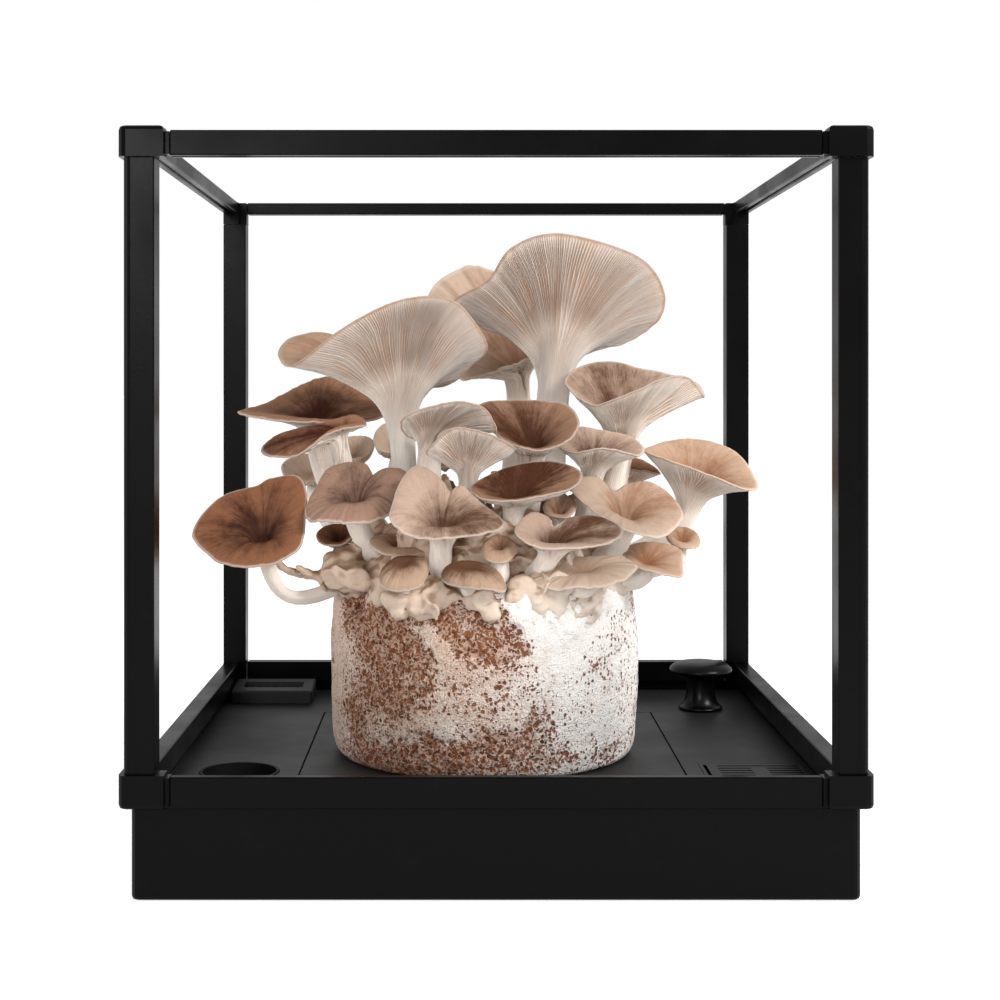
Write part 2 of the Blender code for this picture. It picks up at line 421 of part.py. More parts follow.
MUSHROOMS = {
    "mushroom_tall_fan": {
        "joint": (32, 12, 208.5), "foot": (22, 2), "stem": (7.5, 8.0), "crown": 7, "dip": -6,
        "rim": [(43, 16, 25), (20, 14, 17), (0, 14, 12), (-15, 8, 22), (-36, 2, 30), (-50, -6, 41),
                (-33, -12, 52), (-22, -17, 67), (0, -20, 74), (34, -16, 66), (50, -8, 55), (55, 4, 39)],
    },
    "mushroom_wide_fan": {
        "joint": (-43, -18, 189.5), "foot": (-33, -16), "stem": (6.0, 6.5), "crown": 7, "dip": -6,
        "rim": [(36, 6, 31), (20, 16, 19), (-5, 22, 24), (-34, 24, 44), (-54, 18, 43), (-60, 8, 35),
                (-52, -4, 29), (-29, -16, 45), (-6, -22, 57), (13, -22, 61), (27, -18, 58), (38, -8, 45),
                (41, 0, 37)],
    },
    "mushroom_ruffled_back": {
        "joint": (16, 42, 207.5), "foot": (6, 22), "stem": (6.0, 6.5), "crown": 6, "dip": -2,
        "rim": [(14, 4, 22), (5, 18, 50), (-20, 16, 64), (-34, 8, 60), (-46, -2, 49), (-45, -9, 30),
                (-38, -13, 9), (-20, -13, 5), (-6, -10, 12), (6, -8, 16)],
    },
    "mushroom_dark_left": {
        "joint": (-85, 1, 184.5), "foot": (-50, -4), "stem": (5.0, 5.5), "crown": 5, "dip": -2,
        "rim": [(33, 2, 9), (26, 18, 18), (8, 28, 27), (-2, 28, 28), (-14, 24, 23), (-26, 14, 16),
                (-39, -2, 11), (-26, -14, 9), (-8, -18, 7), (10, -14, 6)],
    },
    "mushroom_folded_left": {
        "joint": (-71, -29, 179.5), "foot": (-50, -20), "stem": (4.0, 4.5), "crown": 7, "dip": -2,
        "rim": [(12, -2, 11), (6, 6, 15), (-8, 8, 11), (-20, 8, 9), (-32, 4, 5), (-38, -2, -1),
                (-33, -10, -4), (-20, -11, -3), (-6, -9, 6), (6, -7, 10)],
    },
    "mushroom_pale_disc": {
        "joint": (-90, 28, 158.5), "foot": (-52, 14), "stem": (4.0, 4.5), "crown": 5, "dip": 2,
        "rim": [(12, 0, 9), (6, 10, 14), (-6, 10, 15), (-15, 2, 11), (-12, -8, 4), (4, -9, 3)],
    },
    "mushroom_pale_behind_a": {
        "joint": (-68, 32, 168.5), "foot": (-38, 18), "stem": (4.0, 4.5), "crown": 4, "dip": 2,
        "rim": [(9, 0, 10), (5, 9, 14), (-5, 9, 14), (-10, 1, 9), (-7, -8, 4), (4, -8, 4)],
    },
    "mushroom_pale_behind_b": {
        "joint": (-48, 24, 172.5), "foot": (-28, 14), "stem": (4.0, 4.5), "crown": 4, "dip": 2,
        "rim": [(10, 0, 12), (5, 10, 17), (-5, 10, 17), (-10, 1, 11), (-7, -9, 4), (4, -9, 4)],
    },
    "mushroom_brown_funnel": {
        "joint": (-105, -53, 134.5), "foot": (-65, -36), "stem": (3.2, 3.0), "crown": 4, "dip": -2, "sag": 15,
        "rim": [(19, -2, 13), (19, 6, 24), (14, 12, 32), (2, 13, 31), (-5, 12, 27), (-18, 9, 24),
                (-28, 3, 16), (-32, -6, 6), (-25, -13, -1), (-18, -17, -6), (-4, -19, -7), (8, -17, -5),
                (18, -12, 1)],
    },
    "mushroom_dark_funnel": {
        "joint": (-63, -50, 150.5), "foot": (-42, -42), "stem": (5.0, 5.5), "crown": 3, "dip": -4,
        "rim": [(19, -6, 5), (24, 4, 17), (15, 9, 20), (9, 8, 15), (3, 12, 22), (-12, 10, 20),
                (-19, 4, 11), (-23, -6, 1), (-19, -14, -4), (-10, -18, -3), (-2, -19, -4), (8, -17, -3),
                (16, -13, 0)],
    },
    "mushroom_light_funnel": {
        "joint": (-23, -72, 138.5), "foot": (-26, -60), "stem": (5.0, 4.5), "crown": 3, "dip": -4,
        "rim": [(28, -6, 9), (17, 4, 18), (9, 7, 25), (4, 7, 22), (1, 9, 26), (-6, 13, 32),
                (-13, 14, 33), (-19, 8, 26), (-22, 0, 17), (-23, -8, 11), (-17, -13, 6), (-7, -16, 3),
                (4, -16, 3), (20, -12, 5)],
    },
    "mushroom_small_gilled": {
        "joint": (-11, -47, 165.5), "foot": (-13, -34), "stem": (4.0, 4.5), "crown": 4, "dip": -1,
        "rim": [(22, -6, 14), (14, 0, 10), (1, 1, 8), (-11, -1, 10), (-19, -8, 12), (-17, -12, 16),
                (-7, -16, 24), (4, -17, 23), (13, -15, 20)],
    },
    "mushroom_gilled_middle": {
        "joint": (-30, -32, 176.5), "foot": (-25, -26), "stem": (5.0, 5.5), "crown": 4, "dip": -3,
        "rim": [(32, -12, 11), (22, -3, 12), (6, 6, 8), (-8, 6, 8), (-13, -2, 14), (-9, -7, 19),
                (3, -10, 23), (15, -12, 25), (26, -13, 22), (31, -14, 16)],
    },
    "mushroom_brown_centre": {
        "joint": (19, -34, 171.5), "foot": (9, -22), "stem": (6.0, 6.5), "crown": 5, "dip": -1,
        "rim": [(22, -3, 20), (17, 8, 28), (4, 11, 30), (-12, 10, 30), (-23, 5, 29), (-25, -2, 24),
                (-16, -8, 14), (-7, -11, 9), (6, -12, 8), (17, -10, 12)],
    },
    "mushroom_dark_oval": {
        "joint": (10, -57, 153.5), "foot": (2, -46), "stem": (4.5, 4.5), "crown": 3, "dip": 0,
        "rim": [(31, 0, 15), (24, 7, 19), (12, 9, 20), (-4, 8, 17), (-17, 3, 11), (-20, -4, 7),
                (-12, -13, 4), (0, -16, 4), (13, -15, 6), (26, -9, 9)],
    },
    "mushroom_right_gilled": {
        "joint": (63, -12, 179.5), "foot": (38, 1), "stem": (6.0, 6.5), "crown": 5, "dip": -2,
        "rim": [(40, -4, 24), (37, 4, 31), (24, 12, 35), (10, 17, 38), (-3, 18, 41), (-17, 14, 39),
                (-26, 5, 32), (-20, -6, 23), (-12, -12, 20), (-2, -16, 24), (10, -18, 29), (19, -18, 33),
                (31, -13, 33)],
    },
    "mushroom_mid_right": {
        "joint": (48, -27, 164.5), "foot": (30, -18), "stem": (4.5, 5.0), "crown": 4, "dip": -2,
        "rim": [(24, -4, 15), (18, 2, 20), (4, 4, 23), (-7, 3, 24), (-15, -1, 16), (-8, -9, 13),
                (4, -12, 15), (15, -11, 13), (22, -8, 12)],
    },
    "mushroom_pointed_dark": {
        "joint": (66, 12, 157.5), "foot": (46, 4), "stem": (3.5, 4.0), "crown": 4, "dip": 0,
        "rim": [(19, -2, 8), (13, 5, 13), (2, 7, 16), (-5, 1, 13), (0, -6, 11), (12, -7, 9)],
    },
    "mushroom_right_shell": {
        "joint": (96, -15, 149.5), "foot": (50, -8), "stem": (5.0, 6.0), "crown": 4, "dip": -3,
        "rim": [(32, -3, 13), (27, 9, 24), (18, 14, 30), (4, 16, 33), (-9, 12, 32), (-17, 3, 30),
                (-22, -4, 28), (-14, -10, 25), (-3, -14, 21), (13, -16, 15), (22, -14, 11), (30, -9, 10)],
    },
    "mushroom_big_funnel_right": {
        "joint": (61, -47, 142.5), "foot": (38, -38), "stem": (5.5, 6.0), "crown": 3, "dip": -3,
        "rim": [(27, -4, 8), (22, 5, 16), (13, 9, 21), (3, 9, 20), (-4, 6, 17), (-11, 9, 23),
                (-20, 6, 23), (-24, -2, 18), (-15, -9, 9), (-8, -13, 5), (-1, -16, 1), (9, -17, -2),
                (18, -14, -2), (25, -9, 3)],
    },
    "mushroom_oval_funnel": {
        "joint": (25, -74, 132.5), "foot": (8, -58), "stem": (4.5, 4.5), "crown": 3, "dip": -2,
        "rim": [(33, -2, 12), (24, 5, 17), (12, 6, 17), (3, 3, 12), (0, 6, 17), (-7, 6, 19),
                (-13, 1, 15), (-15, -5, 11), (-10, -12, 7), (0, -15, 5), (15, -14, 5), (27, -10, 7)],
    },
    "mushroom_dimpled_small": {
        "joint": (31, -50, 141.5), "foot": (22, -46), "stem": (3.5, 4.0), "crown": 4, "dip": -2,
        "rim": [(8, 0, 11), (6, 6, 15), (-1, 7, 16), (-7, 2, 12), (-5, -5, 8), (3, -6, 7)],
    },
    "mushroom_button": {
        "joint": (3, -76, 128.5), "foot": (2, -72), "stem": (4.0, 4.5), "crown": 5, "dip": -3,
        "rim": [(8, -1, 7), (5, 4, 11), (-3, 5, 12), (-8, 0, 8), (-6, -6, 3), (3, -7, 2)],
    },
    "mushroom_flat_low": {
        "joint": (-39, -82, 118.5), "foot": (-37, -70), "stem": (2.6, 3.4), "crown": 10, "dip": -3,
        "rim": [(11, -2, 8), (9, 5, 11.5), (0, 7, 12), (-8, 4, 10.5), (-12, -3, 6.5), (-10, -10, 2.5),
                (-3, -12, 0.5), (7, -10, 2.5)],
    },
    "mushroom_wavy_low": {
        "joint": (-11, -83, 118.5), "foot": (-12, -71), "stem": (3.0, 4.0), "crown": 8, "dip": -3,
        "rim": [(16, -1, 5), (10, 4, 8.5), (0, 6, 10), (-8, 5, 9.5), (-12.5, 0, 7), (-11, -7, 4.5),
                (-4, -10, 2.5), (5, -11, 1.8), (11, -10, 1.2), (17, -7, 0.5)],
    },
    "mushroom_folds_right": {
        "joint": (41, -72, 119.5), "foot": (36, -64), "stem": (6.0, 7.0), "crown": 5, "dip": -2,
        "rim": [(24, 0, 8), (14, 6, 12), (-4, 6, 11), (-17, 3, 8), (-25, -5, 3), (-16, -11, -1),
                (2, -13, 0), (16, -10, 3)],
    },
    "mushroom_low_right": {
        "joint": (71, -49, 121.5), "foot": (59, -44), "stem": (4.5, 5.5), "crown": 4, "dip": -1,
        "rim": [(17, -2, 5), (17, 5, 11), (6, 8, 14), (-6, 6, 13), (-10, -1, 10), (-4, -9, 4),
                (8, -10, 1), (16, -8, 0)],
    },
    "mushroom_far_right_small": {
        "joint": (90, -33, 128.5), "foot": (58, -26), "stem": (3.5, 4.0), "crown": 4, "dip": -2,
        "rim": [(9, 0, 6), (7, 5, 11), (-1, 6, 13), (-7, 2, 10), (-5, -5, 6), (3, -6, 4)],
    },
    "mushroom_tucked_left": {
        "joint": (-70, -44, 131.5), "foot": (-58, -30), "stem": (4.0, 4.5), "crown": 3, "dip": -1,
        "rim": [(6, -3, 9), (2, 3, 12), (-6, 4, 12), (-11, -2, 9), (-9, -8, 5), (0, -9, 4)],
    },
    "mushroom_broad_low": {
        "joint": (-42, -61, 129.5), "foot": (-40, -50), "stem": (4.5, 5.0), "crown": 4, "dip": -2,
        "rim": [(12, -5, 4), (9, 3, 9), (0, 5, 11), (-10, 4, 11), (-14, -3, 8), (-8, -10, 4),
                (4, -12, 3)],
    },
}

RIM_SAMPLES = 12
CAP_EDGE = 0.0016           # thickness at the margin
CAP_FLESH = 0.0045          # thickness near the stem
UNDERSIDE_END = 0.34        # share of the way out where the underside turns into the stem
STEM_RINGS = (0.12, 0.55, 1.0)
STEM_BOW = 0.22             # how far a stem bows under its cap, as a share of its lean

BASE_GROWTH_CENTRE = (-0.0030, -0.0200)
BASE_GROWTH_REACH = (0.0600, 0.0460)
BASE_GROWTH_HEIGHT = 0.0140


def loop_point(points, t):
    """Smooth closed curve through the points; t runs from 0 to 1 round it."""
    count = len(points)
    place = (t % 1.0) * count
    k = int(place)
    u = place - k
    a, b, c, d = (points[(k + j) % count] for j in (-1, 0, 1, 2))
    return 0.5 * ((2 * b) + (c - a) * u + (2 * a - 5 * b + 4 * c - d) * u**2 + (3 * b - a - 3 * c + d) * u**3)


def growth_height(x, y):
    """Height of the grown base's rounded top over the block."""
    reach = ((x - BASE_GROWTH_CENTRE[0]) / BASE_GROWTH_REACH[0]) ** 2
    reach += ((y - BASE_GROWTH_CENTRE[1]) / BASE_GROWTH_REACH[1]) ** 2
    return BASE_GROWTH_HEIGHT * math.sqrt(max(0.0, 1.0 - min(reach, 1.0)))


def block_top():
    return DECK_TOP + GAP + BLOCK_HEIGHT


def cap_top(shape, t, share):
    """A point of the cap's upper face, from its middle (share 0) to the margin (share 1)."""
    joint = Vector(shape["joint"]) * MM
    rim = [joint + Vector(p) * MM for p in shape["rim"]]
    middle = joint + Vector((0.0, 0.0, shape["crown"] * MM))
    edge = loop_point(rim, t)
    sag = shape["dip"] * MM * 4.0 * share * (1.0 - share)
    return middle.lerp(edge, share) - Vector((0.0, 0.0, sag))


def stem_foot(shape):
    x, y = (v * MM for v in shape["foot"])
    radius = shape["stem"][1] * MM
    around = [(x + radius * math.cos(a), y + radius * math.sin(a)) for a in (0.0, 1.57, 3.14, 4.71)]
    height = max(growth_height(px, py) for px, py in [(x, y), *around])
    return Vector((x, y, block_top() + height + 2 * GAP))


def mushroom_mesh(shape):
    """Closed surface: cap's upper face, margin, underside, stem and foot."""
    samples = RIM_SAMPLES
    bm = bmesh.new()
    joint = Vector(shape["joint"]) * MM
    foot = stem_foot(shape)
    rings = []

    def add_ring(points):
        rings.append([bm.verts.new(p) for p in points])

    turns = [k / samples for k in range(samples)]
    for share in (0.45, 1.0):
        add_ring([cap_top(shape, t, share) for t in turns])
    for share in (0.97, UNDERSIDE_END):
        ring = []
        for t in turns:
            here = cap_top(shape, t, share)
            round_step = cap_top(shape, t + 0.02, share) - cap_top(shape, t - 0.02, share)
            out_step = cap_top(shape, t, min(1.0, share + 0.03)) - cap_top(shape, t, share - 0.03)
            normal = out_step.cross(round_step).normalized()
            thick = CAP_EDGE if share > 0.9 else CAP_FLESH
            ring.append(here - normal * thick)
        add_ring(ring)
    lean = foot - joint
    for share in STEM_RINGS:
        radius = MM * (shape["stem"][0] + (shape["stem"][1] - shape["stem"][0]) * share)
        bow = Vector((lean.x * STEM_BOW, lean.y * STEM_BOW, shape.get("sag", 0) * MM))
        bow = bow * math.sin(math.pi * share)
        centre = joint.lerp(foot, share) - bow
        circle = []
        for t in turns:
            angle = 2 * math.pi * t
            circle.append(centre + Vector((radius * math.cos(angle), radius * math.sin(angle), 0.0)))
        add_ring(circle)
    top = bm.verts.new(joint + Vector((0.0, 0.0, shape["crown"] * MM)))
    bottom = bm.verts.new(foot)
    for k in range(samples):
        after = (k + 1) % samples
        bm.faces.new((top, rings[0][k], rings[0][after]))
        bm.faces.new((bottom, rings[-1][after], rings[-1][k]))
        for inner, outer in zip(rings, rings[1:]):
            bm.faces.new((inner[k], outer[k], outer[after], inner[after]))
    return bm


def build_mushrooms(material):
    for name, shape in MUSHROOMS.items():
        add_object(name, mushroom_mesh(shape), material)


def build_grown_base(material):
    """Low mound of knotted growth on the block, which every stem rises from."""
    bm = bmesh.new()
    samples, levels = 24, (1.0, 0.93, 0.75, 0.4)
    base = block_top() + GAP
    rings = []
    for level in levels:
        ring = []
        for k in range(samples):
            angle = 2 * math.pi * k / samples
            x = BASE_GROWTH_CENTRE[0] + BASE_GROWTH_REACH[0] * level * math.cos(angle)
            y = BASE_GROWTH_CENTRE[1] + BASE_GROWTH_REACH[1] * level * math.sin(angle)
            ring.append(bm.verts.new((x, y, base + growth_height(x, y))))
        rings.append(ring)
    under = [bm.verts.new((v.co.x, v.co.y, base)) for v in rings[0]]
    for vert in rings[0]:
        vert.co.z += 0.002
    rings.insert(0, under)
    top = bm.verts.new((*BASE_GROWTH_CENTRE, base + BASE_GROWTH_HEIGHT))
    bm.faces.new(list(reversed(under)))
    for k in range(samples):
        after = (k + 1) % samples
        bm.faces.new((top, rings[-1][k], rings[-1][after]))
        for inner, outer in zip(rings, rings[1:]):
            bm.faces.new((inner[k], outer[k], outer[after], inner[after]))
    add_object("grown_base", bm, material)


def main():
    clear_scene()
    case_black = finish_material("case_black", BLACK, 0.42)
    deck_black = finish_material("deck_black", (0.016, 0.016, 0.017), 0.55)
    vent_black = finish_material("vent_black", (0.008, 0.008, 0.008), 0.7)
    build_base_tub(case_black)
    build_rails(case_black)
    build_posts(case_black)
    build_corner_blocks(case_black)
    build_deck(deck_black)
    build_middle_panel(deck_black)
    build_water_well(vent_black)
    build_vent_box(deck_black, vent_black)
    build_fan_grille(vent_black)
    build_plug_knob(case_black)
    growth = finish_material("mycelium", CREAM, 0.9)
    build_block(growth)
    build_grown_base(growth)
    build_mushrooms(finish_material("mushroom_flesh", BROWN, 0.6))


main()
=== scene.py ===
"""Finish of the oyster mushroom grow kit: black case, tray fittings, mycelium block and mushroom cluster.

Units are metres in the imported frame, +Z up, -Y to the front. The grown things are sized in millimetres.
"""

from __future__ import annotations

import json
import logging
import math
from dataclasses import dataclass, field
from enum import Enum
from typing import Union

import bmesh
import bpy
import numpy as np
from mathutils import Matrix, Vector

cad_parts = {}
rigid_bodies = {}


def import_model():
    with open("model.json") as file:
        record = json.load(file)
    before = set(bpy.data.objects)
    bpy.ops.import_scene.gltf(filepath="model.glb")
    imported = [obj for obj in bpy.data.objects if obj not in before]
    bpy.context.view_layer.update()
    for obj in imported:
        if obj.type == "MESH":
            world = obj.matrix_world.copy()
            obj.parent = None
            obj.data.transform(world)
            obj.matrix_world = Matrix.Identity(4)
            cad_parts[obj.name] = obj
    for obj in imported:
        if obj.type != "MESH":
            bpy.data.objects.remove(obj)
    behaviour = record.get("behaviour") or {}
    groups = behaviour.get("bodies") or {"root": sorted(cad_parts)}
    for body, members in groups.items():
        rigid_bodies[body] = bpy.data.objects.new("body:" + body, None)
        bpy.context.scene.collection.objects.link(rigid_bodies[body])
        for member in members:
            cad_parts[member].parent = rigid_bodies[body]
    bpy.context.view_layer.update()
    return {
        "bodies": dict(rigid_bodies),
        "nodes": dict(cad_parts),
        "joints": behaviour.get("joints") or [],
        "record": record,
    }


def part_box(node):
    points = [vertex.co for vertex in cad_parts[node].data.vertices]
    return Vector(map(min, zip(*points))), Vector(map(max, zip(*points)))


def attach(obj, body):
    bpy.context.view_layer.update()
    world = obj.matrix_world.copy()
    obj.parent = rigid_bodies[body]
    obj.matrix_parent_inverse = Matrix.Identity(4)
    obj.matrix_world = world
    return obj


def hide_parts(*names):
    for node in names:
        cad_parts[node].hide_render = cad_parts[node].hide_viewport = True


LOG = logging.getLogger("grow_kit")
MM = 0.001
TINY = 1e-9
ROOT = "root"
Colour = tuple[float, float, float]
Place = tuple[float, float, float]
Socket = bpy.types.NodeSocket
Value = Union[Socket, float, Colour]
Ramp = tuple[float, ...]
MIX_COLOUR_SLOTS = (0, 6, 7)
MIX_COLOUR_RESULT = 2
RANDOM_FLOAT = 1
SOFTNESS = 0.6


# ---------------------------------------------------------------- node wiring
class Wiring:
    """A node tree that is wired up one step at a time."""

    tree: bpy.types.NodeTree

    def feed(self, socket: Socket, value: Value) -> None:
        """Link a socket to another node's output, or set its own value.

        Args:
            socket: the input to feed.
            value: an output, a number, a text or a colour.
        """
        if isinstance(value, Socket):
            self.tree.links.new(value, socket)
        elif isinstance(value, tuple) and socket.type == "RGBA":
            socket.default_value = (*value, 1.0)
        else:
            socket.default_value = value

    def node(self, kind: str, inputs: dict | None = None, **settings: object) -> bpy.types.Node:
        """Add a node.

        Args:
            kind: the node's Blender type name.
            inputs: socket name or number to a value or to another node's output.
            settings: attributes of the node.

        Returns:
            The new node.
        """
        node = self.tree.nodes.new(kind)
        for key, value in settings.items():
            setattr(node, key, value)
        for key, value in (inputs or {}).items():
            self.feed(node.inputs[key], value)
        return node

    def math(self, operation: str, *terms: Value) -> Socket:
        """One sum on numbers or sockets."""
        return self.node("ShaderNodeMath", dict(enumerate(terms)), operation=operation).outputs["Value"]

    def add(self, a: Value, b: Value) -> Socket:
        """Sum of two values."""
        return self.math("ADD", a, b)

    def less(self, a: Value, b: Value) -> Socket:
        """First value less the second."""
        return self.math("SUBTRACT", a, b)

    def times(self, a: Value, b: Value) -> Socket:
        """Product of two values."""
        return self.math("MULTIPLY", a, b)

    def span(self, value: Value, low: Value, high: Value, to_low: float = 0.0,
             to_high: float = 1.0) -> Socket:
        """Map a span of values smoothly to another span."""
        inputs = {"Value": value, "From Min": low, "From Max": high, "To Min": to_low, "To Max": to_high}
        return self.node("ShaderNodeMapRange", inputs, interpolation_type="SMOOTHSTEP").outputs["Result"]

    def scaled(self, vector: Socket, length: Value) -> Socket:
        """A vector times a number."""
        inputs = {0: vector, "Scale": length}
        return self.node("ShaderNodeVectorMath", inputs, operation="SCALE").outputs["Vector"]


class Shader(Wiring):
    """A node material round one Principled shader."""

    cloud_low, cloud_high = 0.3, 0.7

    def __init__(self, name: str) -> None:
        """Start an empty node material with a Principled shader.

        Args:
            name: the material's name.
        """
        self.material = bpy.data.materials.new(name)
        self.material.use_nodes = True
        self.tree = self.material.node_tree
        self.body = self.tree.nodes["Principled BSDF"]

    def place(self) -> Socket:
        """Object coordinates, in metres."""
        return self.node("ShaderNodeTexCoord").outputs["Object"]

    def attribute(self, name: str) -> Socket:
        """A number stored on the mesh's points."""
        return self.node("ShaderNodeAttribute", attribute_name=name).outputs["Fac"]

    def axis(self, vector: Socket, name: str) -> Socket:
        """One axis, X, Y or Z, of a vector."""
        return self.node("ShaderNodeSeparateXYZ", {"Vector": vector}).outputs[name]

    def noise(self, where: Socket, scale: float, detail: float = 4.0, roughness: float = 0.55,
              warp: float = 0.0) -> Socket:
        """Cloudy noise from 0 to 1.

        Args:
            where: coordinates.
            scale: number of clouds for each unit of the coordinates.
            detail: octaves.
            roughness: strength of the finer octaves.
            warp: distortion.

        Returns:
            The noise's value.
        """
        inputs = {"Vector": where, "Scale": scale, "Detail": detail, "Roughness": roughness,
                  "Distortion": warp}
        return self.node("ShaderNodeTexNoise", inputs).outputs["Fac"]

    def sway(self, clouds: Socket, least: float, most: float | None = None) -> Socket:
        """Spread the usual range of a cloudy noise over least to most, or over plus and minus least."""
        low, high = (-least, least) if most is None else (least, most)
        return self.span(clouds, self.cloud_low, self.cloud_high, low, high)

    def holes(self, where: Socket, scale: float) -> tuple[Socket, Socket, Socket]:
        """Scatter cells.

        Args:
            where: coordinates.
            scale: number of cells for each unit of the coordinates.

        Returns:
            Distance to the nearest cell's point, and two random numbers of that cell.
        """
        node = self.node("ShaderNodeTexVoronoi", {"Vector": where, "Scale": scale})
        luck = self.node("ShaderNodeSeparateColor", {"Color": node.outputs["Color"]}).outputs
        return node.outputs["Distance"], luck["Red"], luck["Green"]

    def mix(self, share: Value, a: Value, b: Value) -> Socket:
        """Mix two colours.

        Args:
            share: how much of the second colour shows, 0 to 1.
            a: the first colour.
            b: the second colour.

        Returns:
            The mixed colour.
        """
        node = self.node("ShaderNodeMix", data_type="RGBA")
        for slot, value in zip(MIX_COLOUR_SLOTS, (share, a, b)):
            self.feed(node.inputs[slot], value)
        return node.outputs[MIX_COLOUR_RESULT]

    def bump(self, height: Socket, depth: float, strength: float = 1.0) -> None:
        """Add a bump under any that is there already.

        Args:
            height: the relief, 0 to 1.
            depth: its depth in metres.
            strength: share of it that shows.
        """
        inputs = {"Height": height, "Distance": depth, "Strength": strength}
        if self.body.inputs["Normal"].links:
            inputs["Normal"] = self.body.inputs["Normal"].links[0].from_socket
        self.feed(self.body.inputs["Normal"], self.node("ShaderNodeBump", inputs).outputs["Normal"])

    def set(self, **values: Value) -> None:
        """Set or link the shader's own sockets; underscores stand for spaces."""
        for key, value in values.items():
            self.feed(self.body.inputs[key.replace("_", " ")], value)

    def flesh(self, depth: Colour, share: float) -> None:
        """Let a little light into the surface.

        Args:
            depth: how far red, green and blue reach, in metres.
            share: how much of the light goes in.
        """
        self.set(Subsurface_Weight=share, Subsurface_Radius=depth, Subsurface_Scale=SOFTNESS)


# ---------------------------------------------------------------- mesh helpers
def smooth(value: np.ndarray, low: float | np.ndarray, high: float | np.ndarray) -> np.ndarray:
    """Smooth step from 0 at low to 1 at high."""
    t = np.clip((value - low) / (high - low), 0.0, 1.0)
    return t * t * (3.0 - 2.0 * t)


def unit_rows(vectors: np.ndarray) -> np.ndarray:
    """The same vectors at length 1."""
    return vectors / (np.linalg.norm(vectors, axis=-1, keepdims=True) + TINY)


def store(mesh: bpy.types.Mesh, name: str, numbers: np.ndarray) -> None:
    """Store one number on each point of a mesh."""
    mesh.attributes.new(name, "FLOAT", "POINT").data.foreach_set("value", numbers.astype(np.float32).ravel())


def mesh_object(name: str, points: np.ndarray, faces: np.ndarray, material: bpy.types.Material,
                values: dict[str, np.ndarray] | None = None) -> bpy.types.Object:
    """Make a smooth-shaded mesh object at the origin.

    Args:
        name: the piece's name.
        points: vertices, one row each.
        faces: quads or triangles as vertex numbers.
        material: its finish.
        values: numbers to store on the points, by attribute name.

    Returns:
        The object, linked to the scene.
    """
    mesh = bpy.data.meshes.new(name)
    corners = faces.shape[1]
    mesh.vertices.add(len(points))
    mesh.vertices.foreach_set("co", points.astype(np.float32).ravel())
    mesh.loops.add(faces.size)
    mesh.loops.foreach_set("vertex_index", faces.astype(np.int32).ravel())
    mesh.polygons.add(len(faces))
    mesh.polygons.foreach_set("loop_start", np.arange(0, faces.size, corners, dtype=np.int32))
    mesh.update(calc_edges=True)
    mesh.validate()
    mesh.shade_smooth()
    for key, numbers in (values or {}).items():
        store(mesh, key, numbers)
    mesh.materials.append(material)
    obj = bpy.data.objects.new(name, mesh)
    bpy.context.scene.collection.objects.link(obj)
    return obj


def plain_copy(obj: bpy.types.Object) -> None:
    """Swap an object's mesh for its evaluated one and drop its modifiers.

    Args:
        obj: the object with live modifiers.
    """
    graph = bpy.context.evaluated_depsgraph_get()
    mesh = bpy.data.meshes.new_from_object(
        obj.evaluated_get(graph), preserve_all_data_layers=True, depsgraph=graph)
    obj.modifiers.clear()
    old = obj.data
    obj.data = mesh
    bpy.data.meshes.remove(old)
    mesh.name = obj.name
    mesh.shade_smooth()


# ---------------------------------------------------------------- finishes
@dataclass(frozen=True)
class BlackPlastic:
    """Satin moulded plastic of the case."""

    name: str = "case_black"
    colour: Colour = (0.0012, 0.0012, 0.0013)
    worn: Colour = (0.0045, 0.0045, 0.0048)
    roughness: float = 0.30
    grain: float = 1400.0
    gloss: float = 0.060
    grain_depth: float = 0.00004
    flow_clouds: float = 22.0
    rub_clouds: float = 70.0
    rubbed_share: float = 0.35

    def build(self) -> bpy.types.Material:
        """Wire the plastic: fine moulded grain, faint flow clouds and rubbed patches.

        Returns:
            The material.
        """
        shader = Shader(self.name)
        place = shader.place()
        clouds = shader.noise(place, self.flow_clouds, 5.0)
        rubbed = shader.span(shader.noise(place, self.rub_clouds, 6.0, 0.7, 0.6), 0.56, 0.78)
        base = shader.mix(shader.times(rubbed, self.rubbed_share), self.colour, self.worn)
        rough = shader.sway(clouds, self.roughness - 0.05, self.roughness + 0.07)
        shader.set(Base_Color=base, Roughness=rough, Specular_IOR_Level=self.gloss)
        shader.bump(shader.noise(place, self.grain, 2.0), self.grain_depth, 0.5)
        return shader.material


@dataclass(frozen=True)
class GrilleFinish:
    """Plate in one black whose slots and holes get painted shade below its face, which lies at a height in
    metres.
    """

    name: str
    face: float
    colour: Colour
    gloss: float = 0.30
    roughness: float = 0.5
    slot_shade: Colour = (0.0006, 0.0006, 0.0006)
    dark_from: float = 0.00008
    lit_from: float = 0.00002

    def build(self) -> bpy.types.Material:
        """Wire the plate: everything more than a hair below the face is painted near black as shade, and
        dull.

        Returns:
            The material.
        """
        shader = Shader(self.name)
        height = shader.axis(shader.node("ShaderNodeNewGeometry").outputs["Position"], "Z")
        # Painted shade: in the slots and holes the colour falls to near black and the gloss goes out.
        lit = shader.span(height, self.face - self.dark_from, self.face - self.lit_from)
        shader.set(Base_Color=shader.mix(lit, self.slot_shade, self.colour), Roughness=self.roughness,
                   Specular_IOR_Level=shader.times(lit, self.gloss))
        return shader.material


@dataclass(frozen=True)
class Pores:
    """One size of hole in the crust."""

    cells: float
    least: float
    most: float
    strength: float
    chance: float


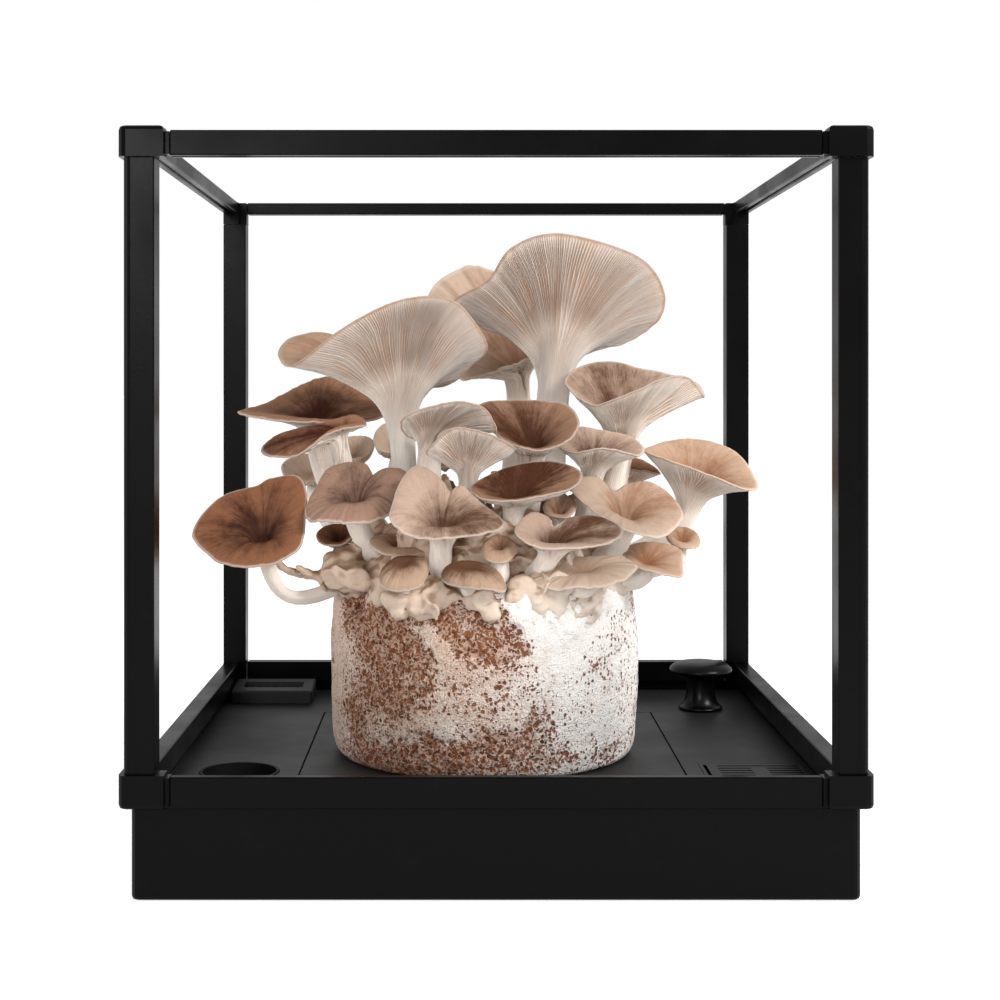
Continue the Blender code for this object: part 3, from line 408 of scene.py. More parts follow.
@dataclass(frozen=True)
class GrownBlock:
    """Crust of the mycelium block: white growth over red-brown porous grain."""

    name: str = "mycelium_crust"
    white: Colour = (0.95, 0.912, 0.872)
    blush: Colour = (0.70, 0.545, 0.445)
    rust: Colour = (0.29, 0.098, 0.036)
    # pit is a near-black brown for the pores: partly rust inside them and partly painted shade.
    pit: Colour = (0.050, 0.015, 0.0055)
    depth: Colour = (0.004, 0.002, 0.001)
    cells_per_metre: float = 540.0
    granules: float = 2.1
    warp_clouds: float = 300.0
    warp: float = 0.0026
    broad_clouds: float = 75.0
    specks: float = 420.0
    grains: float = 1500.0
    cloudy: float = 0.16
    age_shade_sway: float = 0.2
    oldest: float = 0.15
    rusted: Ramp = (0.55, 1.15, 0.0, 0.42)
    dots: Ramp = (0.50, 0.68, 0.0, 0.34)
    seams: Ramp = (0.32, 0.64, 0.0, 0.34)
    opening: Ramp = (-0.06, 0.10)
    widening: Ramp = (0.0, 0.7, 0.65, 1.05)
    stain_ring: Ramp = (-0.16, 0.02, 0.0, 0.5)
    hole_edge: Ramp = (-0.02, 0.07)
    pit_grain: Ramp = (0.35, 0.6)
    pore_shade_share: float = 0.92
    pores: tuple[Pores, ...] = (
        Pores(cells=1.0, least=0.20, most=0.54, strength=1.0, chance=0.0),
        Pores(cells=1.8, least=0.18, most=0.50, strength=0.85, chance=0.12),
        Pores(cells=0.55, least=0.14, most=0.34, strength=1.0, chance=-0.28))

    def build(self) -> bpy.types.Material:
        """Wire a granular crust whose holes are scattered where it is whole and meet where it is bare.

        Returns:
            The material.
        """
        shader = Shader(self.name)
        place = shader.place()
        aged_and_shaded = shader.attribute("aged_and_shaded")
        broad = shader.noise(place, self.broad_clouds, 5.0, 0.62)
        speck = shader.noise(place, self.specks, 5.0, 0.65)
        bent = self.bent(shader, place)
        spread = shader.add(shader.attribute("bare"), shader.sway(broad, self.cloudy))
        age_and_shade = shader.add(aged_and_shaded, shader.sway(broad, self.age_shade_sway))
        # The white to blush mix is partly the crust's own colour and partly painted shade on the block's left
        # side.
        colour = shader.mix(age_and_shade, self.white, self.blush)
        colour = shader.mix(shader.span(spread, *self.rusted), colour, self.rust)
        dull = shader.math("MINIMUM", shader.add(aged_and_shaded, self.oldest), 1.0)
        dots = shader.times(shader.span(speck, *self.dots), dull)
        colour = shader.mix(dots, colour, self.rust)
        between, _, _ = shader.holes(bent, self.cells_per_metre * self.granules)
        seams = shader.times(shader.span(between, *self.seams), dull)
        colour = shader.mix(seams, colour, self.rust)
        deep = None
        for pores in self.pores:
            stain, hole = self.pierced(shader, pores, bent, spread)
            colour = shader.mix(stain, colour, self.rust)
            deep = hole if deep is None else shader.math("MAXIMUM", deep, hole)
        # Pores are painted towards pit: partly rust in the holes and partly painted shade inside them.
        pore_rust_and_shade = shader.mix(shader.span(speck, *self.pit_grain), self.pit, self.rust)
        colour = shader.mix(shader.times(deep, self.pore_shade_share), colour, pore_rust_and_shade)
        shader.set(Base_Color=colour, Roughness=0.88, Specular_IOR_Level=0.15)
        shader.flesh(self.depth, 0.05)
        shader.bump(shader.noise(place, self.grains, 3.0, 0.6), 0.0005, 0.8)
        shader.bump(shader.times(between, -1.0), 0.0006, 0.8)
        shader.bump(shader.times(deep, -1.0), 0.0011, 0.9)
        shader.bump(speck, 0.0010, 0.9)
        return shader.material

    def bent(self, shader: Shader, place: Socket) -> Socket:
        """Coordinates pushed about by clouds, so that cells on them are ragged.

        Args:
            shader: the material in hand.
            place: plain coordinates.

        Returns:
            The bent coordinates.
        """
        clouds = {"Vector": place, "Scale": self.warp_clouds, "Detail": 3.0}
        push = shader.node("ShaderNodeTexNoise", clouds).outputs["Color"]
        push = shader.scaled(push, self.warp)
        return shader.node("ShaderNodeVectorMath", {0: push, 1: place}, operation="ADD").outputs["Vector"]

    def pierced(self, shader: Shader, pores: Pores, bent: Socket, spread: Socket) -> tuple[Socket, Socket]:
        """Holes of one size.

        Args:
            shader: the material in hand.
            pores: the size of the holes and how likely they are.
            bent: ragged coordinates.
            spread: how bare the crust is.

        Returns:
            The stain round the holes, and the holes themselves.
        """
        away, luck, size = shader.holes(bent, self.cells_per_metre * pores.cells)
        opened = shader.span(shader.less(shader.add(spread, pores.chance), luck), *self.opening)
        wide = shader.span(size, 0.0, 1.0, pores.least, pores.most)
        radius = shader.times(wide, shader.span(spread, *self.widening))
        inside = shader.less(radius, away)
        stain = shader.times(shader.span(inside, *self.stain_ring), opened)
        hole = shader.times(shader.span(inside, *self.hole_edge), opened)
        return stain, shader.times(hole, pores.strength)


@dataclass(frozen=True)
class FleshClouds:
    """Noises that the parts of a mushroom's finish share."""

    fibres: Socket
    runs: Socket
    lobes: Socket
    mottle: Socket
    clouds: Socket
    fine: Socket


@dataclass(frozen=True)
class CapFlesh:
    """Mushroom flesh: a fibrous cap that is darker in its middle, gills and a pale stem.

    spread is how far out the middle's colour reaches, warmth how brown the valleys between gills are, a brown
    that is partly the gills' own tint and partly painted shade, and streak how much paler the cap's fibres
    are.
    """

    name: str
    middle: Colour
    rim: Colour
    ridge: Colour = (0.68, 0.61, 0.545)
    valley_tint_and_shade: Colour = (0.37, 0.190, 0.090)
    stem: Colour = (0.93, 0.84, 0.755)
    depth: Colour = (0.005, 0.0025, 0.0013)
    spread: float = 0.62
    warmth: float = 0.46
    streak: float = 0.19
    fibre_length: float = 0.16
    cloud_drift: Ramp = (0.25, 0.75, -0.14, 0.14)
    fibre_drift: float = 0.085
    lobe_drift: float = 0.16
    mottle_drift: float = 0.09
    fade: Ramp = (-0.54, 0.40)
    pale_fibres: Ramp = (0.50, 0.72)
    dark_fibres: Ramp = (0.50, 0.30, 0.0, 0.18)
    dark_dots: Ramp = (0.55, 0.80, 0.0, 0.18)
    cap_edge: Ramp = (0.955, 1.0, 0.0, 0.45)
    gill_edge: Ramp = (0.970, 1.0, 0.0, 0.45)
    run_outside: Ramp = (1.0, 0.70)
    run_inside: Ramp = (0.10, 0.40)
    run_share: float = 0.25
    runs: Ramp = (0.35, 0.65, -0.6, 0.5)
    browned: Ramp = (-0.20, 0.50)
    brown_range: Ramp = (0.85, 1.35)
    valley_depth: Ramp = (0.90, 0.15)
    rosy_ridges: Ramp = (0.0, 0.6, 0.0, 0.14)
    rosy_mottle: Ramp = (0.5, 0.75, 0.0, 0.12)
    stem_white_and_lit: Ramp = (0.46, 0.10, 0.0, 0.55)
    stem_fibres: Ramp = (0.35, 0.7, 0.0, 0.5)
    stem_clouds: Ramp = (0.5, 0.8, 0.0, 0.35)

    def build(self) -> bpy.types.Material:
        """Wire the flesh from the stored reach, turn, underside, gill and stem numbers.

        Returns:
            The material.
        """
        shader = Shader(self.name)
        reach = shader.attribute("reach")
        noises = self.clouds(shader, reach)
        cap = self.cap_side(shader, reach, noises)
        gills = self.gill_side(shader, reach, noises)
        colour = shader.mix(shader.attribute("underside"), cap, gills)
        lengthwise = shader.mix(shader.span(noises.fibres, *self.stem_fibres), self.stem, self.ridge)
        lengthwise = shader.mix(shader.span(noises.clouds, *self.stem_clouds), lengthwise, self.rim)
        colour = shader.mix(shader.attribute("stem"), colour, lengthwise)
        shader.set(Base_Color=colour, Roughness=0.62, Specular_IOR_Level=0.14)
        shader.flesh(self.depth, 0.06)
        shader.bump(noises.fine, 0.0002, 0.6)
        shader.bump(noises.fibres, 0.0005, 0.6)
        return shader.material

    def clouds(self, shader: Shader, reach: Socket) -> FleshClouds:
        """Noises that run round the cap, and others in plain space.

        Args:
            shader: the material in hand.
            reach: distance from the cap's middle.

        Returns:
            The noises.
        """
        place = shader.place()
        around = shader.node("ShaderNodeCombineXYZ", {
            "X": shader.attribute("round_x"), "Y": shader.attribute("round_y"),
            "Z": shader.times(reach, self.fibre_length)}).outputs["Vector"]
        return FleshClouds(
            fibres=shader.noise(around, 44.0, 5.0, 0.62), runs=shader.noise(around, 7.0, 4.0, 0.6),
            lobes=shader.noise(around, 2.6, 4.0, 0.6), mottle=shader.noise(place, 190.0, 4.0, 0.62),
            clouds=shader.noise(place, 70.0, 5.0, 0.6, 0.4), fine=shader.noise(place, 620.0, 3.0, 0.6))

    def cap_side(self, shader: Shader, reach: Socket, noises: FleshClouds) -> Socket:
        """Colour of the cap's upper side.

        Args:
            shader: the material in hand.
            reach: distance from the cap's middle.
            noises: the shared noises.

        Returns:
            The colour.
        """
        drift = shader.span(noises.clouds, *self.cloud_drift)
        drift = shader.add(drift, shader.sway(noises.fibres, self.fibre_drift))
        drift = shader.add(drift, shader.sway(noises.lobes, self.lobe_drift))
        drift = shader.add(drift, shader.sway(noises.mottle, self.mottle_drift))
        # This side darkening is partly the cap's own colour and partly painted shade.
        out = shader.less(shader.add(reach, drift), shader.attribute("tone_and_shade_side"))
        inner, outer = (self.spread + part for part in self.fade)
        cap = shader.mix(shader.span(out, inner, outer), self.middle, self.rim)
        streaks = shader.times(shader.span(noises.fibres, *self.pale_fibres), self.streak)
        cap = shader.mix(streaks, cap, self.rim)
        cap = shader.mix(shader.span(noises.fibres, *self.dark_fibres), cap, self.middle)
        cap = shader.mix(shader.span(noises.fine, *self.dark_dots), cap, self.middle)
        return shader.mix(shader.span(reach, *self.cap_edge), cap, self.ridge)

    def gill_side(self, shader: Shader, reach: Socket, noises: FleshClouds) -> Socket:
        """Colour of the underside: pale gills, brown valleys in patches that are partly their own tint and
        partly painted shade, and white next to the stem that is partly their own colour and partly painted
        light.

        Args:
            shader: the material in hand.
            reach: distance from the cap's middle.
            noises: the shared noises.

        Returns:
            The colour.
        """
        # Brown valleys between the gills: partly the gills' own tint and partly painted shade.
        midway = shader.times(shader.span(reach, *self.run_outside), shader.span(reach, *self.run_inside))
        patches = shader.add(shader.span(noises.runs, *self.runs), shader.times(midway, self.run_share))
        least, most = (self.warmth * part for part in self.brown_range)
        tint_shade_amount = shader.span(patches, *self.browned, least, most)
        deep = shader.times(shader.span(shader.attribute("gill"), *self.valley_depth), tint_shade_amount)
        ridge = shader.mix(shader.span(patches, *self.rosy_ridges), self.ridge, self.rim)
        gills = shader.mix(deep, ridge, self.valley_tint_and_shade)
        gills = shader.mix(shader.span(noises.mottle, *self.rosy_mottle), gills, self.rim)
        gills = shader.mix(shader.span(reach, *self.gill_edge), gills, self.middle)
        # Next to the stem the gills are painted whiter: partly their own colour and partly painted light
        # against the shade under the cap.
        return shader.mix(shader.span(reach, *self.stem_white_and_lit), gills, self.stem)


@dataclass(frozen=True)
class GrowthFinish:
    """Pale knotted growth with painted brown shade in its folds and crevices, and chalky where it creeps down
    the block.
    """

    name: str = "knotted_growth"
    white: Colour = (0.66, 0.55, 0.455)
    pale: Colour = (0.60, 0.455, 0.35)
    tan: Colour = (0.36, 0.215, 0.128)
    chalk: Colour = (0.62, 0.54, 0.47)
    # fold is the colour of the painted shade in folds and crevices.
    fold: Colour = (0.20, 0.100, 0.048)
    depth: Colour = (0.005, 0.0025, 0.0013)
    crevice: float = 0.011
    pale_side: Ramp = (-0.115, -0.075)
    side_lean: float = -0.9
    side_clouds: float = 0.02
    facing_up: Ramp = (0.25, 0.85)
    top_clouds: Ramp = (-0.5, 0.35)
    tanned: Ramp = (0.0, 1.0, 0.0, 0.85)
    crevices: Ramp = (0.90, 0.42)
    folds: Ramp = (0.25, -0.6, 0.0, 0.55)
    crumbs: Ramp = (0.2, 0.5, 0.55, 1.0)

    def build(self) -> bpy.types.Material:
        """Wire the growth from its stored folds, its side and clouds; folds and crevices get painted brown
        shade.

        Returns:
            The material.
        """
        shader = Shader(self.name)
        place = shader.place()
        clouds = shader.noise(place, 60.0, 5.0, 0.6)
        fine = shader.noise(place, 480.0, 4.0, 0.6)
        side = shader.add(shader.axis(place, "X"), shader.times(shader.axis(place, "Z"), self.side_lean))
        side = shader.add(side, shader.sway(clouds, self.side_clouds))
        colour = shader.mix(shader.span(side, *self.pale_side), self.pale, self.white)
        rising = shader.axis(shader.node("ShaderNodeNewGeometry").outputs["Normal"], "Z")
        brown = shader.add(shader.span(rising, *self.facing_up), shader.sway(clouds, *self.top_clouds))
        colour = shader.mix(shader.span(brown, *self.tanned), colour, self.tan)
        colour = shader.mix(shader.attribute("chalk"), colour, self.chalk)
        # Painted shade: a dark brown mixed into crevices found by ambient occlusion and into the valleys of
        # the stored folds.
        reach = {"Distance": self.crevice}
        shade = shader.node("ShaderNodeAmbientOcclusion", reach, samples=8, only_local=True)
        folds = shader.span(shader.attribute("fold"), *self.folds)
        sunk = shader.math("MAXIMUM", shader.span(shade.outputs["AO"], *self.crevices), folds)
        colour = shader.mix(shader.times(sunk, shader.span(fine, *self.crumbs)), colour, self.fold)
        shader.set(Base_Color=colour, Roughness=0.72, Specular_IOR_Level=0.25)
        shader.flesh(self.depth, 0.10)
        shader.bump(fine, 0.0006, 0.8)
        return shader.material


class Tone(Enum):
    """Colour families of the caps."""

    CREAM_FAN = CapFlesh("flesh_cream_fan", (0.22, 0.105, 0.052), (0.41, 0.265, 0.180),
                         ridge=(0.56, 0.50, 0.45), stem=(1.0, 0.94, 0.87))
    ROSY = CapFlesh("flesh_rosy", (0.30, 0.155, 0.088), (0.50, 0.365, 0.275), spread=0.55)
    DARK = CapFlesh("flesh_dark", (0.048, 0.0080, 0.0012), (0.31, 0.155, 0.088), spread=0.60)
    RUSSET = CapFlesh("flesh_russet", (0.032, 0.0065, 0.0020), (0.225, 0.094, 0.046), spread=0.60)
    ASH = CapFlesh("flesh_ash", (0.040, 0.016, 0.0095), (0.31, 0.185, 0.130), spread=0.46)
    UMBER = CapFlesh("flesh_umber", (0.060, 0.0165, 0.0045), (0.32, 0.180, 0.112), spread=0.72)
    BEIGE = CapFlesh("flesh_beige", (0.090, 0.035, 0.0150), (0.46, 0.325, 0.245), spread=0.50)
    TAN = CapFlesh("flesh_tan", (0.150, 0.062, 0.027), (0.42, 0.275, 0.185), spread=0.52)
    BUN = CapFlesh("flesh_bun", (0.105, 0.046, 0.021), (0.40, 0.270, 0.185), spread=0.90)
    PEACH = CapFlesh("flesh_peach", (0.26, 0.110, 0.050), (0.47, 0.315, 0.220), spread=0.55)
    PALE = CapFlesh("flesh_pale", (0.36, 0.225, 0.145), (0.52, 0.39, 0.295), spread=0.35)


# ---------------------------------------------------------------- mushrooms
@dataclass(frozen=True)
class Mushroom:
    """One mushroom, grown as one piece; sizes in millimetres.

    joint is where the stem meets the cap and foot where it leaves the grown base. stem is its radius at the
    top and at the foot. crown is the height of the cap's middle over the joint, dip how far its slope sags,
    and well the depth of the pit in its middle. rim goes round the margin from the right by the back, the
    left and the front, measured from the joint. sag is how far the stem droops between its ends. dusk is the
    turn of the rim's darker side and how much darker it is; that darkness is partly the cap's own colour
    and partly painted shade.
    """

    name: str
    tone: Tone
    joint: Place
    foot: tuple[float, float]
    stem: tuple[float, float]
    crown: float
    dip: float
    rim: tuple[Place, ...]
    gills: int = 18
    frill: float = 0.5
    curl: float = 0.5
    well: float = 0.0
    sag: float = 0.0
    tone_and_shade_side: tuple[float, float] = (0.25, 0.14)
    seed: int = 1
    foot_height: float = 117.0

    def ends(self) -> tuple[np.ndarray, np.ndarray]:
        """The stem's joint with the cap and its foot."""
        return np.array(self.joint), np.array((*self.foot, self.foot_height))

    def middle(self) -> np.ndarray:
        """The middle of the cap's upper side."""
        return np.array(self.joint) + (0.0, 0.0, self.crown)


@dataclass
class MushroomSkin:
    """Turns a mushroom's sizes into a closed skin with the numbers its finish reads."""

    samples_per_gill: int = 4
    gill_slots: int = 4
    top_rings: int = 14
    under_rings: int = 22
    neck_rings: int = 12
    stem_rings: int = 11
    edge_thickness: float = 0.9
    flesh_thickness: float = 4.2
    slimness: float = 0.42
    underside_end: float = 0.26
    margin_end: float = 1.02
    foot_end: float = -0.8
    well_width: float = 0.17
    look: float = 0.02
    gill_sway: float = 0.012
    stem_bow: float = 0.22
    stem_start: float = 0.14
    stem_knots: float = 0.035
    stem_spread: float = 0.8
    roll: Ramp = (0.88, 1.05)
    ring_crowding: float = 0.85
    wave_fade: float = 0.45
    fold_clear: Ramp = (0.72, 0.95)
    waves: tuple[int, ...] = (3, 5, 8, 13, 21, 34)
    sways: tuple[int, ...] = (2, 5, 9, 14)

    @staticmethod
    def rim_curve(points: np.ndarray, turns: np.ndarray) -> np.ndarray:
        """Smooth closed curve through the rim's points.

        Args:
            points: the rim's points.
            turns: places round the rim, 0 to 1.

        Returns:
            One point for each turn.
        """
        count = len(points)
        place = (turns % 1.0) * count
        first = place.astype(int)
        u = (place - first)[:, None]
        a, b, c, d = (points[(first + step) % count] for step in (-1, 0, 1, 2))
        straight = 2 * b + (c - a) * u
        return 0.5 * (straight + (2 * a - 5 * b + 4 * c - d) * u**2 + (3 * b - a - 3 * c + d) * u**3)

    def upper(self, shape: Mushroom, turns: np.ndarray, shares: np.ndarray) -> np.ndarray:
        """Upper face of the cap.

        Args:
            shape: the mushroom.
            turns: places round the rim, 0 to 1, the same for every share or by share.
            shares: places from the middle, 0, to the margin, 1.

        Returns:
            Points by share and turn.
        """
        draw = np.random.default_rng(shape.seed)
        turns = np.broadcast_to(turns, (len(shares), turns.shape[-1]))
        rim = np.array(shape.joint) + np.array(shape.rim)
        edge = self.rim_curve(rim, turns.ravel()).reshape(turns.shape + (3,))
        middle = shape.middle()
        spokes = edge - middle
        length = np.linalg.norm(spokes, axis=2, keepdims=True)
        up = unit_rows(np.cross(spokes, np.roll(edge, -1, 1) - np.roll(edge, 1, 1)))
        wave = np.zeros(turns.shape)
        for order in self.waves:
            height = draw.uniform(0.3, 1.0)
            wave += height * np.sin(2 * np.pi * (order * turns + draw.uniform())) / order**self.wave_fade
        s = shares[:, None, None]
        points = middle + spokes * s
        sag = shape.dip * 4.0 * s * (1.0 - s) + shape.well * np.exp(-((s / self.well_width) ** 2))
        points = points - np.array((0.0, 0.0, 1.0)) * sag
        points += up * (shape.frill * wave[..., None]) * smooth(s, 0.35, 1.0)
        rolled = smooth(s, *self.roll)
        points -= up * shape.curl * rolled
        points -= spokes / length * shape.curl * 0.4 * rolled * s
        return points

    def drift(self, shape: Mushroom, turns: np.ndarray, shares: np.ndarray) -> np.ndarray:
        """Places round the rim that wander a little on their way in, as gills do.

        Args:
            shape: the mushroom.
            turns: places round the rim, 0 to 1.
            shares: places from the middle, 0, to the margin, 1.

        Returns:
            The wandering places by share and turn.
        """
        draw = np.random.default_rng(shape.seed + 40)
        sway = np.zeros((len(shares), len(turns)))
        for order in self.sways:
            phase = draw.uniform(0, 2 * np.pi, 2)
            twist = phase[0] + 5.0 * shares[:, None] * np.cos(phase[1])
            sway += np.sin(2 * np.pi * order * turns[None] + twist) / order
        return turns[None] + self.gill_sway * sway * smooth(1.0 - shares, 0.0, 0.45)[:, None]

    def underside(self, shape: Mushroom, turns: np.ndarray,
                  back: np.ndarray) -> tuple[np.ndarray, np.ndarray]:
        """Underside of the cap, from its margin in.

        Args:
            shape: the mushroom.
            turns: places round the rim, 0 to 1.
            back: places from the margin, 1, in to the neck.

        Returns:
            Points by ring and turn, and how clear of tight folds each of them is, 0 to 1.
        """
        swaying = self.drift(shape, turns, back)
        surface = self.upper(shape, swaying, back)
        ahead = self.upper(shape, swaying, np.minimum(back + self.look, 1.0))
        behind = self.upper(shape, swaying, back - self.look)
        round_step = np.roll(surface, -1, 1) - np.roll(surface, 1, 1)
        normal = unit_rows(np.cross(ahead - behind, round_step))
        for _ in range(len(turns) // 14):
            normal = (np.roll(normal, 2, 1) + 2 * normal + np.roll(normal, -2, 1)) / 4
        agreed = np.linalg.norm(normal, axis=2)
        normal /= agreed[..., None] + TINY
        open_share = smooth(agreed, *self.fold_clear)
        thicker = self.flesh_thickness - self.edge_thickness
        depth = self.edge_thickness + thicker * (1.0 - back[:, None]) ** 1.3
        from_middle = np.linalg.norm(surface - np.array(shape.joint) - (0.0, 0.0, shape.crown), axis=2)
        depth = np.minimum(depth, 0.5 + self.slimness * from_middle) * (0.35 + 0.65 * open_share)
        return surface - normal * depth[..., None], open_share

    def grow(self, shape: Mushroom) -> tuple[np.ndarray, np.ndarray, dict[str, np.ndarray]]:
        """Build the closed skin of a mushroom.

        Args:
            shape: the mushroom.

        Returns:
            Points in metres, quad and pole faces, and the numbers stored on the points.
        """
        count = shape.gills * self.gill_slots * self.samples_per_gill
        turns = np.arange(count) / count
        out = np.linspace(0.0, 1.0, self.top_rings + 1)[1:] ** self.ring_crowding
        back = np.linspace(1.0, self.underside_end, self.under_rings)
        top = self.upper(shape, turns, out)
        under, open_share = self.underside(shape, turns, back)
        lip = (top[-1] + under[0]) / 2 + unit_rows(top[-1] - top[-2]) * self.edge_thickness * 0.45
        stem, down = self.stem_rings_of(shape, turns)
        neck = self.neck_of(under, stem, down)
        skin = np.concatenate([top, lip[None], under, neck, stem])
        open_rings = len(out) + 1
        reach = np.concatenate([
            out, [self.margin_end], back, np.linspace(self.underside_end, 0.12, len(neck)),
            np.linspace(0.10, self.foot_end, len(stem))])
        below = np.concatenate([
            np.zeros(len(out)), [0.35], np.ones(len(back) + len(neck) + len(stem))])
        stalk = np.concatenate([
            np.zeros(open_rings + len(back)), smooth(np.linspace(0, 1, len(neck)), 0.45, 1.3),
            np.linspace(0.6, 1.0, len(stem)) ** 0.5])
        gilled = np.concatenate([
            np.zeros((open_rings, count)),
            smooth(1.0 - back, 0.0, 0.06)[:, None] * open_share,
            np.linspace(1.0, 0.55, len(neck))[:, None] * (0.4 + 0.6 * open_share[-1:]),
            np.tile(np.linspace(0.5, 0.0, len(stem))[:, None] ** 1.2, count)])
        return self.close(shape, skin, turns, reach, below, stalk, gilled)

    def stem_rings_of(self, shape: Mushroom, turns: np.ndarray) -> tuple[np.ndarray, np.ndarray]:
        """Rings down the stem.

        Args:
            shape: the mushroom.
            turns: places round the stem, 0 to 1.

        Returns:
            Points by ring and turn, and the way the stem runs at its top.
        """
        joint, foot = shape.ends()
        lean = foot - joint
        share = np.linspace(self.stem_start, 1.0, self.stem_rings)
        bow = lean * (1.0, 1.0, 0.0) * self.stem_bow + (0.0, 0.0, shape.sag)
        path = joint + lean * share[:, None] - bow * np.sin(np.pi * share)[:, None]
        run = np.gradient(path, axis=0)
        run /= np.linalg.norm(run, axis=1, keepdims=True)
        across = np.cross(run, (0.0, 1.0, 0.0))
        across /= np.linalg.norm(across, axis=1, keepdims=True)
        along = np.cross(across, run)
        radius = shape.stem[0] + (shape.stem[1] - shape.stem[0]) * share + self.stem_spread * share**4
        angle = 2 * np.pi * turns
        draw = np.random.default_rng(shape.seed + 90)
        knots = sum(self.stem_knots * np.sin(k * angle + draw.uniform(0, 6.3)) for k in (2, 3, 5))
        swell = 1.0 + knots[None] + 0.05 * np.sin(share * 11 + draw.uniform(0, 6.3))[:, None]
        rings = across[:, None] * np.cos(angle)[None, :, None] + along[:, None] * np.sin(angle)[None, :, None]
        return path[:, None] + rings * (radius[:, None] * swell)[..., None], run[0]

    def neck_of(self, under: np.ndarray, stem: np.ndarray, down: np.ndarray) -> np.ndarray:
        """Smooth flare between the cap and the stem.

        Args:
            under: rings of the underside, which the flare leaves.
            stem: rings of the stem, which it joins.
            down: the way the stem runs at its top.

        Returns:
            Points by ring and turn.
        """
        start, end = under[-1], stem[0]
        length = np.linalg.norm(end - start, axis=1, keepdims=True)
        leave = unit_rows(under[-1] - under[-3])
        t = np.linspace(0.0, 1.0, self.neck_rings + 2)[1:-1, None, None]
        from_start, from_leave = 2 * t**3 - 3 * t**2 + 1, t**3 - 2 * t**2 + t
        from_end, from_down = -2 * t**3 + 3 * t**2, t**3 - t**2
        return from_start * start + from_leave * leave * length + from_end * end + from_down * down * length

    def close(self, shape: Mushroom, skin: np.ndarray, turns: np.ndarray, reach: np.ndarray,
              below: np.ndarray, stalk: np.ndarray,
              gilled: np.ndarray) -> tuple[np.ndarray, np.ndarray, dict[str, np.ndarray]]:
        """Join the rings into one closed skin with a pole at each end.

        Args:
            shape: the mushroom.
            skin: rings of points from the cap's middle to the foot.
            turns: places round the rim.
            reach, below, stalk: one number for each ring.
            gilled: one number for each ring and turn.

        Returns:
            Points in metres, quad and pole faces, and the numbers stored on the points.
        """
        rings, count = skin.shape[:2]
        points = np.concatenate([skin.reshape(-1, 3), shape.middle()[None], skin[-1].mean(0)[None]]) * MM
        grid = np.arange(rings * count).reshape(rings, count)
        after = np.roll(grid, -1, 1)
        quads = np.stack([grid[:-1], grid[1:], after[1:], after[:-1]], -1).reshape(-1, 4)
        half = np.arange(0, count, 2)
        second, third = (half + 1) % count, (half + 2) % count
        apex, base = rings * count, rings * count + 1
        top = np.stack([np.full(len(half), apex), grid[0][half], grid[0][second], grid[0][third]], -1)
        foot = np.stack([np.full(len(half), base), grid[-1][third], grid[-1][second], grid[-1][half]], -1)

        def spread(numbers: np.ndarray, first: float, last: float) -> np.ndarray:
            """Numbers by ring, put on every point of the ring and on both poles."""
            return np.concatenate([np.repeat(numbers, count), [first, last]])

        angle = 2 * np.pi * np.tile(turns, rings)
        # dusk stores a cap's darker side, partly its own colour and partly painted shade.
        values = {
            "reach": spread(reach, 0.0, self.foot_end), "underside": spread(below, 0.0, 1.0),
            "stem": spread(stalk, 0.0, 1.0), "gilled": np.append(gilled, [0.0, 0.0]),
            "tone_and_shade_side": np.append(shape.tone_and_shade_side[1] * np.cos(angle - 2 * np.pi * shape.tone_and_shade_side[0])
                              * np.repeat(np.clip(reach, 0.0, 1.0), count), [0.0, 0.0]),
            "turn": np.concatenate([np.tile(turns, rings), [0.0, 0.0]]),
            "round_x": np.concatenate([np.cos(angle) + shape.seed, [shape.seed, shape.seed]]),
            "round_y": np.concatenate([np.sin(angle), [0.0, 0.0]]),
        }
        return points, np.concatenate([quads, top, foot]), values


